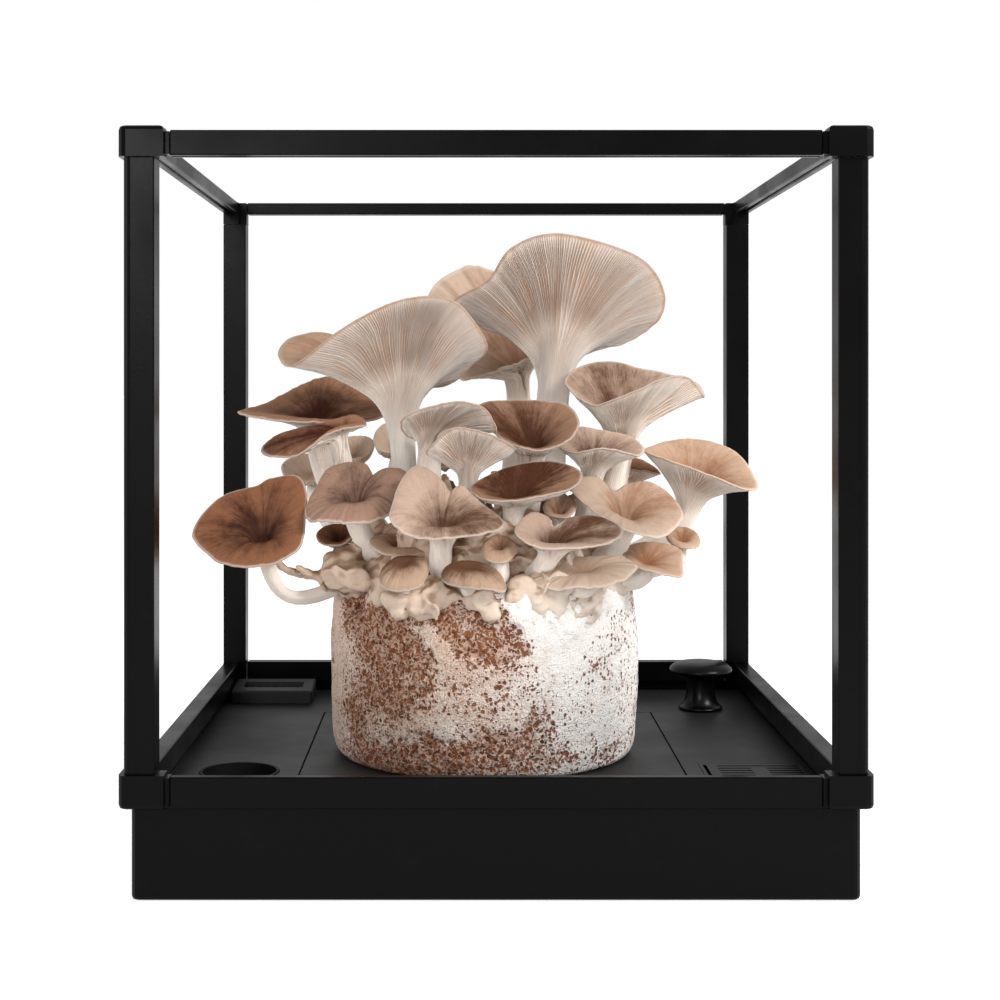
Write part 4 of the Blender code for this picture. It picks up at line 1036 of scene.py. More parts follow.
class GillGrowth(Wiring):
    """Geometry Nodes tree that raises gills on a cap's underside, long ones and short ones between them."""

    middle_start: float = 0.34
    odd_start: float = 0.62
    stray_start: float = 0.16
    run_in: float = 0.16
    match: float = 0.1

    def __init__(self) -> None:
        """Build the tree once for all the mushrooms."""
        self.tree = bpy.data.node_groups.new("gill_growth", "GeometryNodeTree")
        face = self.tree.interface
        face.new_socket("Geometry", in_out="INPUT", socket_type="NodeSocketGeometry")
        self.ids = {}
        for name, kind in (("Gill slots", "NodeSocketFloat"), ("Gill depth", "NodeSocketFloat"),
                           ("Seed", "NodeSocketInt"), ("Finish", "NodeSocketMaterial")):
            self.ids[name] = face.new_socket(name, in_out="INPUT", socket_type=kind).identifier
        face.new_socket("Geometry", in_out="OUTPUT", socket_type="NodeSocketGeometry")
        self.wire()

    def number(self, name: str) -> Socket:
        """A number stored on the points."""
        node = self.node("GeometryNodeInputNamedAttribute", {"Name": name}, data_type="FLOAT")
        return node.outputs["Attribute"]

    def is_whole(self, value: Socket, number: float) -> Socket:
        """1 where a value is this number, otherwise 0."""
        return self.math("COMPARE", value, number, self.match)

    def wire(self) -> None:
        """Wire slots round the cap, their random start, the ridge's section and the push outwards."""
        enter = self.node("NodeGroupInput").outputs
        place = self.times(self.number("turn"), enter["Gill slots"])
        slot = self.math("ROUND", place)
        wrapped = self.math("MODULO", slot, enter["Gill slots"])
        chance = self.node("FunctionNodeRandomValue", {"ID": wrapped, "Seed": enter["Seed"]})
        luck = chance.outputs[RANDOM_FLOAT]
        away = self.math("ABSOLUTE", self.less(place, slot))
        section = self.less(1.0, self.span(away, 0.04, 0.46))
        ridge = self.times(section, self.grown(wrapped, luck))
        height = self.times(ridge, self.add(0.75, self.times(luck, 0.35)))
        gill = self.times(height, self.span(self.number("gilled"), 0.0, 0.35))
        push = self.times(self.times(gill, self.arch()), enter["Gill depth"])
        kept = self.node("GeometryNodeStoreNamedAttribute",
                         {"Name": "gill", "Geometry": enter["Geometry"], "Value": gill}, data_type="FLOAT")
        offset = self.scaled(self.node("GeometryNodeInputNormal").outputs[0], push)
        moved = self.node("GeometryNodeSetPosition", {"Geometry": kept.outputs["Geometry"], "Offset": offset})
        plain = self.node("GeometryNodeRealizeInstances", {"Geometry": moved.outputs["Geometry"]})
        paint = {"Geometry": plain.outputs["Geometry"], "Material": enter["Finish"]}
        painted = self.node("GeometryNodeSetMaterial", paint)
        self.node("NodeGroupOutput", {"Geometry": painted.outputs["Geometry"]})

    def grown(self, slot: Socket, luck: Socket) -> Socket:
        """Share of a gill that has grown at each distance from the stem.

        Args:
            slot: the gill's number. Each fourth one is whole and those between start further out.
            luck: a random number for the gill.

        Returns:
            0 before the gill's start, 1 beyond it.
        """
        quarter = self.math("MODULO", slot, 4.0)
        odd = self.is_whole(self.math("MODULO", slot, 2.0), 1.0)
        middle = self.is_whole(quarter, 2.0)
        start = self.add(self.times(odd, self.odd_start), self.times(middle, self.middle_start))
        start = self.add(start, self.times(luck, self.stray_start))
        grown = self.span(self.number("reach"), self.less(start, self.run_in), self.add(start, 0.02))
        return self.math("MAXIMUM", grown, self.is_whole(quarter, 0.0))

    def arch(self) -> Socket:
        """How far gills stand out: less at the margin and down the stem."""
        reach = self.number("reach")
        arch = self.times(self.span(reach, 1.02, 0.82), self.span(reach, -0.35, 0.5))
        return self.times(self.add(0.3, arch), self.number("gilled"))

    def apply(self, obj: bpy.types.Object, slots: int, depth: float, seed: int) -> None:
        """Grow gills on a cap and keep the result as a plain mesh.

        Args:
            obj: the mushroom's skin.
            slots: places for gills round the cap.
            depth: height of a full gill in metres.
            seed: fixes the short gills' random lengths.
        """
        step = obj.modifiers.new("gills", "NODES")
        step.node_group = self.tree
        finish = obj.data.materials[0]
        sizes = {"Gill slots": float(slots), "Gill depth": depth, "Seed": seed, "Finish": finish}
        for name, value in sizes.items():
            step[self.ids[name]] = value
        plain_copy(obj)


CLUSTER: tuple[Mushroom, ...] = (
    Mushroom("tall_fan", Tone.CREAM_FAN, (32, 12, 208.5), (22, 2), (7.5, 8.0), crown=7, dip=-6, rim=(
        (43, 16, 25), (20, 14, 17), (0, 14, 12), (-15, 8, 22), (-36, 2, 30), (-50, -6, 41), (-33, -12, 52),
        (-22, -17, 67), (0, -20, 74), (34, -16, 66), (50, -8, 55), (55, 4, 39)), gills=70, frill=0.7,
        seed=1),
    Mushroom("wide_fan", Tone.CREAM_FAN, (-43, -18, 189.5), (-33, -16), (6.0, 6.5), crown=7, dip=-6, rim=(
        (36, 6, 31), (20, 16, 19), (-5, 22, 24), (-34, 24, 44), (-54, 18, 43), (-60, 8, 35), (-52, -4, 29),
        (-29, -16, 45), (-6, -22, 57), (13, -22, 61), (27, -18, 58), (38, -8, 45), (41, 0, 37)), gills=64,
        frill=0.5, seed=2),
    Mushroom("ruffled_back", Tone.ROSY, (16, 42, 207.5), (6, 22), (6.0, 6.5), crown=6, dip=-2, rim=(
        (14, 4, 22), (5, 18, 50), (-20, 16, 64), (-34, 8, 60), (-46, -2, 49), (-45, -9, 30), (-38, -13, 9),
        (-20, -13, 5), (-6, -10, 12), (6, -8, 16)), gills=44, frill=2.0, seed=3),
    Mushroom("dark_left", Tone.DARK, (-85, 1, 184.5), (-50, -4), (5.0, 5.5), crown=5, dip=-2, rim=(
        (33, 2, 9), (26, 18, 18), (8, 28, 27), (-2, 28, 28), (-14, 24, 23), (-26, 14, 16), (-39, -2, 11),
        (-26, -14, 9), (-8, -18, 7), (10, -14, 6)), gills=36, frill=0.5, well=4, tone_and_shade_side=(0.15, 0.20), seed=4),
    Mushroom("folded_left", Tone.DARK, (-71, -29, 179.5), (-50, -20), (4.0, 4.5), crown=7, dip=-2, rim=(
        (12, -2, 11), (6, 6, 15), (-8, 8, 11), (-20, 8, 9), (-32, 4, 5), (-38, -2, -1), (-33, -10, -4),
        (-20, -11, -3), (-6, -9, 6), (6, -7, 10)), gills=31, frill=0.6, well=2, tone_and_shade_side=(0.50, 0.60), seed=5),
    Mushroom("pale_disc", Tone.PALE, (-90, 28, 158.5), (-52, 14), (4.0, 4.5), crown=5, dip=2, rim=(
        (12, 0, 9), (6, 10, 14), (-6, 10, 15), (-15, 2, 11), (-12, -8, 4), (4, -9, 3)), gills=14, frill=0.4,
        curl=0.8, seed=6),
    Mushroom("pale_behind_a", Tone.PALE, (-68, 32, 168.5), (-38, 18), (4.0, 4.5), crown=4, dip=2, rim=(
        (9, 0, 10), (5, 9, 14), (-5, 9, 14), (-10, 1, 9), (-7, -8, 4), (4, -8, 4)), gills=12, frill=0.4,
        curl=0.8, seed=7),
    Mushroom("pale_behind_b", Tone.PALE, (-48, 24, 172.5), (-28, 14), (4.0, 4.5), crown=4, dip=2, rim=(
        (10, 0, 12), (5, 10, 17), (-5, 10, 17), (-10, 1, 11), (-7, -9, 4), (4, -9, 4)), gills=12, frill=0.4,
        curl=0.8, seed=8),
    Mushroom("brown_funnel", Tone.RUSSET, (-105, -53, 134.5), (-65, -36), (3.2, 3.0), crown=4, dip=-2, rim=(
        (19, -2, 13), (19, 6, 24), (14, 12, 32), (2, 13, 31), (-5, 12, 27), (-18, 9, 24), (-28, 3, 16),
        (-32, -6, 6), (-25, -13, -1), (-18, -17, -6), (-4, -19, -7), (8, -17, -5), (18, -12, 1)), gills=31,
        frill=0.7, well=7, sag=15, tone_and_shade_side=(0.45, 0.12), seed=9),
    Mushroom("dark_funnel", Tone.ASH, (-63, -50, 150.5), (-42, -42), (5.0, 5.5), crown=3, dip=-4, rim=(
        (19, -6, 5), (24, 4, 17), (15, 9, 20), (9, 8, 15), (3, 12, 22), (-12, 10, 20), (-19, 4, 11),
        (-23, -6, 1), (-19, -14, -4), (-10, -18, -3), (-2, -19, -4), (8, -17, -3), (16, -13, 0)), gills=31,
        frill=0.8, well=6, tone_and_shade_side=(0.25, 0.30), seed=10),
    Mushroom("light_funnel", Tone.BEIGE, (-23, -72, 138.5), (-26, -60), (5.0, 4.5), crown=3, dip=-4, rim=(
        (28, -6, 9), (17, 4, 18), (9, 7, 25), (4, 7, 22), (1, 9, 26), (-6, 13, 32), (-13, 14, 33),
        (-19, 8, 26), (-22, 0, 17), (-23, -8, 11), (-17, -13, 6), (-7, -16, 3), (4, -16, 3), (20, -12, 5)),
        gills=34, frill=0.7, well=6, tone_and_shade_side=(0.95, 0.62), seed=11),
    Mushroom("small_gilled", Tone.BEIGE, (-11, -47, 165.5), (-13, -34), (4.0, 4.5), crown=4, dip=-1, rim=(
        (22, -6, 14), (14, 0, 10), (1, 1, 8), (-11, -1, 10), (-19, -8, 12), (-17, -12, 16), (-7, -16, 24),
        (4, -17, 23), (13, -15, 20)), gills=29, frill=0.4, seed=12),
    Mushroom("gilled_middle", Tone.ROSY, (-30, -32, 176.5), (-25, -26), (5.0, 5.5), crown=4, dip=-3, rim=(
        (32, -12, 11), (22, -3, 12), (6, 6, 8), (-8, 6, 8), (-13, -2, 14), (-9, -7, 19), (3, -10, 23),
        (15, -12, 25), (26, -13, 22), (31, -14, 16)), gills=36, frill=0.5, seed=13),
    Mushroom("brown_centre", Tone.UMBER, (19, -34, 171.5), (9, -22), (6.0, 6.5), crown=5, dip=-1, rim=(
        (22, -3, 20), (17, 8, 28), (4, 11, 30), (-12, 10, 30), (-23, 5, 29), (-25, -2, 24), (-16, -8, 14),
        (-7, -11, 9), (6, -12, 8), (17, -10, 12)), gills=29, frill=0.4, well=1, tone_and_shade_side=(0.40, 0.30), seed=14),
    Mushroom("dark_oval", Tone.UMBER, (10, -57, 153.5), (2, -46), (4.5, 4.5), crown=3, dip=0, rim=(
        (31, 0, 15), (24, 7, 19), (12, 9, 20), (-4, 8, 17), (-17, 3, 11), (-20, -4, 7), (-12, -13, 4),
        (0, -16, 4), (13, -15, 6), (26, -9, 9)), gills=34, frill=0.3, well=3, tone_and_shade_side=(0.25, 0.80), seed=15),
    Mushroom("right_gilled", Tone.BEIGE, (63, -12, 179.5), (38, 1), (6.0, 6.5), crown=5, dip=-2, rim=(
        (40, -4, 24), (37, 4, 31), (24, 12, 35), (10, 17, 38), (-3, 18, 41), (-17, 14, 39), (-26, 5, 32),
        (-20, -6, 23), (-12, -12, 20), (-2, -16, 24), (10, -18, 29), (19, -18, 33), (31, -13, 33)), gills=44,
        frill=0.6, well=3, tone_and_shade_side=(0.32, 0.50), seed=16),
    Mushroom("mid_right", Tone.BEIGE, (48, -27, 164.5), (30, -18), (4.5, 5.0), crown=4, dip=-2, rim=(
        (24, -4, 15), (18, 2, 20), (4, 4, 23), (-7, 3, 24), (-15, -1, 16), (-8, -9, 13), (4, -12, 15),
        (15, -11, 13), (22, -8, 12)), gills=29, frill=0.5, well=1, tone_and_shade_side=(0.25, 0.2), seed=17),
    Mushroom("pointed_dark", Tone.DARK, (66, 12, 157.5), (46, 4), (3.5, 4.0), crown=4, dip=0, rim=(
        (19, -2, 8), (13, 5, 13), (2, 7, 16), (-5, 1, 13), (0, -6, 11), (12, -7, 9)), gills=12, frill=0.4,
        curl=0.8, seed=18),
    Mushroom("right_shell", Tone.PEACH, (96, -15, 149.5), (50, -8), (5.0, 6.0), crown=4, dip=-3, rim=(
        (32, -3, 13), (27, 9, 24), (18, 14, 30), (4, 16, 33), (-9, 12, 32), (-17, 3, 30), (-22, -4, 28),
        (-14, -10, 25), (-3, -14, 21), (13, -16, 15), (22, -14, 11), (30, -9, 10)), gills=36, frill=0.4,
        well=2, seed=19),
    Mushroom("big_funnel_right", Tone.ROSY, (61, -47, 142.5), (38, -38), (5.5, 6.0), crown=3, dip=-3, rim=(
        (27, -4, 8), (22, 5, 16), (13, 9, 21), (3, 9, 20), (-4, 6, 17), (-11, 9, 23), (-20, 6, 23),
        (-24, -2, 18), (-15, -9, 9), (-8, -13, 5), (-1, -16, 1), (9, -17, -2), (18, -14, -2), (25, -9, 3)),
        gills=31, frill=0.6, well=6, tone_and_shade_side=(0.10, 0.55), seed=20),
    Mushroom("oval_funnel", Tone.BEIGE, (25, -74, 132.5), (8, -58), (4.5, 4.5), crown=3, dip=-2, rim=(
        (33, -2, 12), (24, 5, 17), (12, 6, 17), (3, 3, 12), (0, 6, 17), (-7, 6, 19), (-13, 1, 15),
        (-15, -5, 11), (-10, -12, 7), (0, -15, 5), (15, -14, 5), (27, -10, 7)), gills=31, frill=0.4, well=5,
        tone_and_shade_side=(0.05, 0.80), seed=21),
    Mushroom("dimpled_small", Tone.TAN, (31, -50, 141.5), (22, -46), (3.5, 4.0), crown=4, dip=-2, rim=(
        (8, 0, 11), (6, 6, 15), (-1, 7, 16), (-7, 2, 12), (-5, -5, 8), (3, -6, 7)), gills=13, frill=0.3,
        well=3, seed=22),
    Mushroom("button", Tone.TAN, (3, -76, 128.5), (2, -72), (4.0, 4.5), crown=5, dip=-3, rim=(
        (8, -1, 7), (5, 4, 11), (-3, 5, 12), (-8, 0, 8), (-6, -6, 3), (3, -7, 2)), gills=10, frill=0.2,
        well=3, tone_and_shade_side=(0.25, 0.12), seed=23),
    Mushroom("flat_low", Tone.BUN, (-39, -82, 118.5), (-37, -70), (2.6, 3.4), crown=10, dip=-3, rim=(
        (11, -2, 8), (9, 5, 11.5), (0, 7, 12), (-8, 4, 10.5), (-12, -3, 6.5), (-10, -10, 2.5),
        (-3, -12, 0.5), (7, -10, 2.5)), gills=24, frill=0.4, curl=1.6, tone_and_shade_side=(0.30, 0.62), seed=24),
    Mushroom("wavy_low", Tone.BUN, (-11, -83, 118.5), (-12, -71), (3.0, 4.0), crown=8, dip=-3, rim=(
        (16, -1, 5), (10, 4, 8.5), (0, 6, 10), (-8, 5, 9.5), (-12.5, 0, 7), (-11, -7, 4.5), (-4, -10, 2.5),
        (5, -11, 1.8), (11, -10, 1.2), (17, -7, 0.5)), gills=27, frill=0.5, curl=1.6, tone_and_shade_side=(0.30, 0.50),
        seed=25),
    Mushroom("folds_right", Tone.PALE, (41, -72, 119.5), (36, -64), (6.0, 7.0), crown=5, dip=-2, rim=(
        (24, 0, 8), (14, 6, 12), (-4, 6, 11), (-17, 3, 8), (-25, -5, 3), (-16, -11, -1), (2, -13, 0),
        (16, -10, 3)), gills=23, frill=1.0, well=1, tone_and_shade_side=(0.25, -0.1), seed=26),
    Mushroom("low_right", Tone.PEACH, (71, -49, 121.5), (59, -44), (4.5, 5.5), crown=4, dip=-1, rim=(
        (17, -2, 5), (17, 5, 11), (6, 8, 14), (-6, 6, 13), (-10, -1, 10), (-4, -9, 4), (8, -10, 1),
        (16, -8, 0)), gills=16, frill=0.4, well=1, tone_and_shade_side=(0.30, 0.2), seed=27),
    Mushroom("far_right_small", Tone.PEACH, (90, -33, 128.5), (58, -26), (3.5, 4.0), crown=4, dip=-2, rim=(
        (9, 0, 6), (7, 5, 11), (-1, 6, 13), (-7, 2, 10), (-5, -5, 6), (3, -6, 4)), gills=10, frill=0.3,
        curl=0.8, seed=28),
    Mushroom("tucked_left", Tone.RUSSET, (-70, -44, 131.5), (-58, -30), (4.0, 4.5), crown=3, dip=-1, rim=(
        (6, -3, 9), (2, 3, 12), (-6, 4, 12), (-11, -2, 9), (-9, -8, 5), (0, -9, 4)), gills=16, frill=0.4,
        well=2, seed=29),
    Mushroom("broad_low", Tone.TAN, (-42, -61, 129.5), (-40, -50), (4.5, 5.0), crown=4, dip=-2, rim=(
        (12, -5, 4), (9, 3, 9), (0, 5, 11), (-10, 4, 11), (-14, -3, 8), (-8, -10, 4), (4, -12, 3)), gills=18,
        frill=0.5, well=2, tone_and_shade_side=(0.30, 0.3), seed=30),
)

@dataclass
class Cluster:
    """All the mushrooms, each with its own skin, gills and finish."""

    members: tuple[Mushroom, ...] = CLUSTER
    gill_depth: float = 0.0010
    small_gill_depth: float = 0.0006
    big_from: int = 20
    materials: dict[Tone, bpy.types.Material] = field(default_factory=dict)

    def finish_of(self, tone: Tone) -> bpy.types.Material:
        """Material of a tone, made when it is first asked for.

        Args:
            tone: the colour family.

        Returns:
            The material.
        """
        if tone not in self.materials:
            self.materials[tone] = tone.value.build()
        return self.materials[tone]

    def build(self) -> list[bpy.types.Object]:
        """Build every mushroom.

        Returns:
            The finished pieces.
        """
        gills = GillGrowth()
        fine = MushroomSkin()
        coarse = MushroomSkin(samples_per_gill=3, top_rings=12, under_rings=16, neck_rings=10, stem_rings=9)
        pieces = []
        for shape in self.members:
            big = shape.gills >= self.big_from
            skin = fine if big else coarse
            points, faces, values = skin.grow(shape)
            obj = mesh_object(f"grown_{shape.name}", points, faces, self.finish_of(shape.tone), values)
            depth = self.gill_depth if big else self.small_gill_depth
            gills.apply(obj, shape.gills * skin.gill_slots, depth, shape.seed)
            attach(obj, ROOT)
            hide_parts(f"mushroom_{shape.name}")
            pieces.append(obj)
        return pieces


# ---------------------------------------------------------------- block and grown base
class Clouds:
    """Seeded lattice noise in three dimensions, for relief that is worked into the meshes."""

    octave_shift: float = 7.31

    def __init__(self, seed: int, side: int = 32) -> None:
        """Fill the lattice.

        Args:
            seed: fixes the lattice's numbers.
            side: lattice points along each edge before it repeats.
        """
        self.side = side
        self.lattice = np.random.default_rng(seed).uniform(-1.0, 1.0, (side, side, side))

    def at(self, points: np.ndarray, size: float, octaves: int = 3, fade: float = 0.5) -> np.ndarray:
        """Noise from about -1 to 1.

        Args:
            points: places, one row each.
            size: width of the widest clouds, in the points' unit.
            octaves: how many times the clouds are halved.
            fade: strength of each halving.

        Returns:
            One number for each point.
        """
        total = np.zeros(len(points))
        strength, weight = 1.0, 0.0
        for octave in range(octaves):
            place = points / size * 2**octave + self.octave_shift * octave
            low = np.floor(place).astype(int)
            part = place - low
            part = part * part * (3.0 - 2.0 * part)
            value = np.zeros(len(points))
            for corner in np.ndindex(2, 2, 2):
                share = np.prod(np.where(corner, part, 1.0 - part), axis=1)
                i, j, k = ((low + corner) % self.side).T
                value += share * self.lattice[i, j, k]
            total += value * strength
            weight += strength
            strength *= fade
        return total / weight


@dataclass(frozen=True)
class Patch:
    """A patch of the block's side: bearing from the front in degrees, height and reach in millimetres."""

    bearing: float
    height: float
    across: float
    tall: float
    amount: float


@dataclass
class Block:
    """Mycelium block with its porous side, bare patches and broken edge; sizes in millimetres."""

    radius: float = 73.0
    foot_round: float = 13.0
    foot_inset: float = 5.5
    shoulder_round: float = 6.0
    shoulder_inset: float = 0.8
    bulge: float = 1.2
    settling: float = 5.0
    pole_state: float = 0.3
    patch_edge: Ramp = (0.45, 1.25)
    # These set the darkening towards the left, partly the crust's own ageing and partly painted shade.
    age_shade_bearings: Ramp = (-32.0, 30.0)
    age_shade_range: Ramp = (0.02, 0.88)
    age_shade_clouds: float = 30.0
    age_shade_stray: float = 30.0
    stray_clouds: float = 17.0
    stray_turn: float = 11.0
    stray_lift: float = 9.0
    bare_clouds: float = 16.0
    bare_least: float = 0.30
    bare_stray: float = 0.26
    bare_gain: float = 1.25
    crept_cover: float = 0.5
    swell: float = 0.9
    lump: float = 0.45
    pore: Ramp = (0.30, 0.6)
    knob: Ramp = (0.35, 1.6)
    worn: float = 0.35
    columns: int = 600
    rows: int = 100
    seed: int = 4
    bare: tuple[Patch, ...] = (
        Patch(-40, 62, 30, 15, 0.75), Patch(0, 66, 20, 15, 1.25), Patch(-14, 79, 16, 8, 0.70),
        Patch(-36, 42, 30, 20, 0.30), Patch(-58, 22, 9, 14, 0.55), Patch(-16, 5, 62, 14, 0.68),
        Patch(16, 24, 8, 7, 0.60), Patch(11, 17, 10, 7, 0.40), Patch(-4, 15, 16, 9, 0.35),
        Patch(52, 8, 24, 9, 0.35), Patch(76, 78, 6, 12, 0.7), Patch(-58, 76, 12, 10, 0.7),
        Patch(140, 40, 40, 30, 0.5), Patch(-130, 60, 36, 20, 0.6), Patch(180, 10, 60, 12, 0.6),
        Patch(100, 20, 20, 18, 0.4), Patch(-17, 60, 5, 14, -0.55), Patch(-20, 30, 7, 12, -0.22),
        Patch(-42, 25, 24, 18, 0.15), Patch(52, 45, 34, 60, -0.07), Patch(-72, 50, 8, 40, -0.25),
        Patch(30, 62, 18, 18, -0.35))
    broken: tuple[Patch, ...] = (
        Patch(-57, 77, 8, 9, 5.0), Patch(-40, 80, 10, 6, 2.5), Patch(-70, 82, 12, 6, 1.5),
        Patch(150, 78, 22, 9, 4.0))
    crept: tuple[Patch, ...] = (
        Patch(16, 77, 14, 14, 2.6), Patch(30, 72, 12, 14, 2.4), Patch(-14, 84, 10, 6, 1.2),
        Patch(56, 80, 20, 8, 1.5))

    def cover(self, patches: tuple[Patch, ...], bearing: np.ndarray, height: np.ndarray) -> np.ndarray:
        """Sum of soft-edged patches.

        Args:
            patches: the patches.
            bearing: degrees from the front, by point.
            height: millimetres above the block's foot, by point.

        Returns:
            The patches' amount at each point.
        """
        total = np.zeros(len(bearing))
        for patch in patches:
            turn = (bearing - patch.bearing + 180.0) % 360.0 - 180.0
            arc = np.radians(turn) * self.radius
            away = np.sqrt((arc / patch.across) ** 2 + ((height - patch.height) / patch.tall) ** 2)
            total += patch.amount * (1.0 - smooth(away, *self.patch_edge))
        return total

    def profile(self, tall: float) -> np.ndarray:
        """Outline from the middle of the underside, up the side, to the middle of the top.

        Args:
            tall: the block's height.

        Returns:
            Radius and height, one row each.
        """
        foot, inset, shoulder = self.foot_round, self.foot_inset, self.shoulder_round
        top_radius = self.radius - self.shoulder_inset
        bend = np.radians(np.linspace(-90, 0, 14))
        lower = np.stack([self.radius - inset + inset * np.cos(bend), foot + foot * np.sin(bend)], 1)
        share = np.linspace(0, 1, self.rows)[1:-1]
        out = self.radius + self.bulge * np.sin(np.pi * share) - self.shoulder_inset * smooth(share, 0.6, 1.0)
        side = np.stack([out, foot + (tall - shoulder - foot) * share], 1)
        bend = np.radians(np.linspace(0, 90, 10))
        upper = np.stack([top_radius - shoulder + shoulder * np.cos(bend),
                          tall - shoulder + shoulder * np.sin(bend)], 1)
        base = np.stack([np.linspace(6, self.radius - foot - 4, 5), np.zeros(5)], 1)
        top = np.stack([np.linspace(top_radius - shoulder - 2.5, 2.0, 26), np.full(26, tall)], 1)
        return np.concatenate([base, lower, side, upper, top])

    def build(self) -> bpy.types.Object:
        """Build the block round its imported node.

        Returns:
            The finished piece.
        """
        low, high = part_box("mycelium_block")
        centre = np.array(((low + high) / 2).to_tuple()) / MM
        base, tall = low.z / MM, (high.z - low.z) / MM
        profile = self.profile(tall)
        angle = 2 * np.pi * np.arange(self.columns) / self.columns
        ring = np.stack([np.sin(angle), -np.cos(angle)], 1)
        slope = np.gradient(profile, axis=0)
        slope /= np.linalg.norm(slope, axis=1, keepdims=True)
        points = self.turned(profile[:, :1], profile[:, 1:], ring)
        facing = self.turned(slope[:, 1:], -slope[:, :1], ring)
        bearing = np.tile(np.degrees(angle), len(profile))
        height = points[:, 2].copy()
        bare = self.bareness(points, bearing, height)
        relief = self.relief(points, bearing, height, bare)
        settled = smooth(height, 0.0, self.settling)
        points = points + facing * (relief * settled)[:, None]
        points += (centre[0], centre[1], base)
        points[:, 2] = np.maximum(points[:, 2], base)
        count = self.columns
        index = np.arange(len(profile) * count).reshape(-1, count)
        after = np.roll(index, -1, 1)
        quads = np.stack([index[:-1], after[:-1], after[1:], index[1:]], -1).reshape(-1, 4)
        apex, under = len(points), len(points) + 1
        half = np.arange(0, count, 2)
        ends = [np.stack([index[-1][half], index[-1][(half + 1) % count], index[-1][(half + 2) % count],
                          np.full(len(half), apex)], -1),
                np.stack([index[0][(half + 2) % count], index[0][(half + 1) % count], index[0][half],
                          np.full(len(half), under)], -1)]
        poles = [[centre[0], centre[1], base + tall], [centre[0], centre[1], base]]
        points = np.concatenate([points, poles]) * MM
        # Darkening towards the left: partly the crust's own ageing and partly painted shade.
        aged_and_shaded = self.aging_and_shade(points[:-2] / MM, bearing)
        at_poles = [self.pole_state, self.pole_state]
        values = {"bare": np.append(bare, at_poles), "aged_and_shaded": np.append(aged_and_shaded, at_poles)}
        faces = np.concatenate([quads, *ends])
        obj = mesh_object("crusted_block", points, faces, GrownBlock().build(), values)
        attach(obj, ROOT)
        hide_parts("mycelium_block")
        return obj

    @staticmethod
    def turned(out: np.ndarray, up: np.ndarray, ring: np.ndarray) -> np.ndarray:
        """Turn an outline round the upright axis.

        Args:
            out: how far out each row lies.
            up: how high each row lies.
            ring: directions round the axis.

        Returns:
            One vector for each row and direction.
        """
        flat = out[:, None] * ring[None]
        return np.concatenate([flat, np.broadcast_to(up[:, None], flat.shape[:2] + (1,))], 2).reshape(-1, 3)

    def aging_and_shade(self, points: np.ndarray, bearing: np.ndarray) -> np.ndarray:
        """How far the white growth has turned, fresh on the right and darker on the left: partly the crust's
        own ageing and partly painted shade on the side away from the light.

        Args:
            points: places on the finished block.
            bearing: degrees from the front.

        Returns:
            0 to 1 for each point.
        """
        bearing = (bearing + 180.0) % 360.0 - 180.0
        clouds = Clouds(self.seed + 6).at(points, self.age_shade_clouds, 3)
        least, gain = self.age_shade_range
        return least + gain * smooth(-bearing + self.age_shade_stray * clouds, *self.age_shade_bearings)

    def bareness(self, points: np.ndarray, bearing: np.ndarray, height: np.ndarray) -> np.ndarray:
        """How far the white growth has gone from the grain.

        Args:
            points: places on the smooth block.
            bearing: degrees from the front.
            height: millimetres above its foot.

        Returns:
            0 to about 1.3 for each point.
        """
        clouds = Clouds(self.seed)
        stray = Clouds(self.seed + 8)
        turn = self.stray_turn * stray.at(points, self.stray_clouds, 4, 0.65)
        lift = self.stray_lift * stray.at(points + 300.0, self.stray_clouds, 4, 0.65)
        bare = self.cover(self.bare, bearing + turn, height + lift)
        bare += self.bare_stray * clouds.at(points, self.bare_clouds, 4, 0.6) + self.bare_least
        return bare * self.bare_gain - self.crept_cover * self.cover(self.crept, bearing, height)

    def relief(self, points: np.ndarray, bearing: np.ndarray, height: np.ndarray,
               bare: np.ndarray) -> np.ndarray:
        """Relief of the crust.

        Args:
            points: places on the smooth block.
            bearing: degrees from the front.
            height: millimetres above its foot.
            bare: bareness, by point.

        Returns:
            Millimetres outwards.
        """
        wide = Clouds(self.seed + 1).at(points, 40.0, 2)
        lumps = Clouds(self.seed + 2).at(points, 7.0, 3, 0.6)
        pores = Clouds(self.seed + 3).at(points, 2.9, 2, 0.6)
        open_share = smooth(bare, 0.15, 0.9)
        pit = smooth(pores, 0.50 - 0.46 * open_share, 0.72 - 0.36 * open_share)
        creep = self.cover(self.crept, bearing, height)
        knobs = np.abs(Clouds(self.seed + 5).at(points, 9.0, 3, 0.55))
        relief = self.swell * wide + self.lump * lumps - pit * (self.pore[0] + self.pore[1] * open_share)
        relief += creep * (self.knob[0] + self.knob[1] * knobs)
        relief -= self.cover(self.broken, bearing, height) * (0.75 + 0.5 * lumps)
        return relief - self.worn * open_share


@dataclass(frozen=True)
class Lump:
    """A lump merged into the grown base: its middle and half-sizes in millimetres."""

    middle: Place
    half: Place


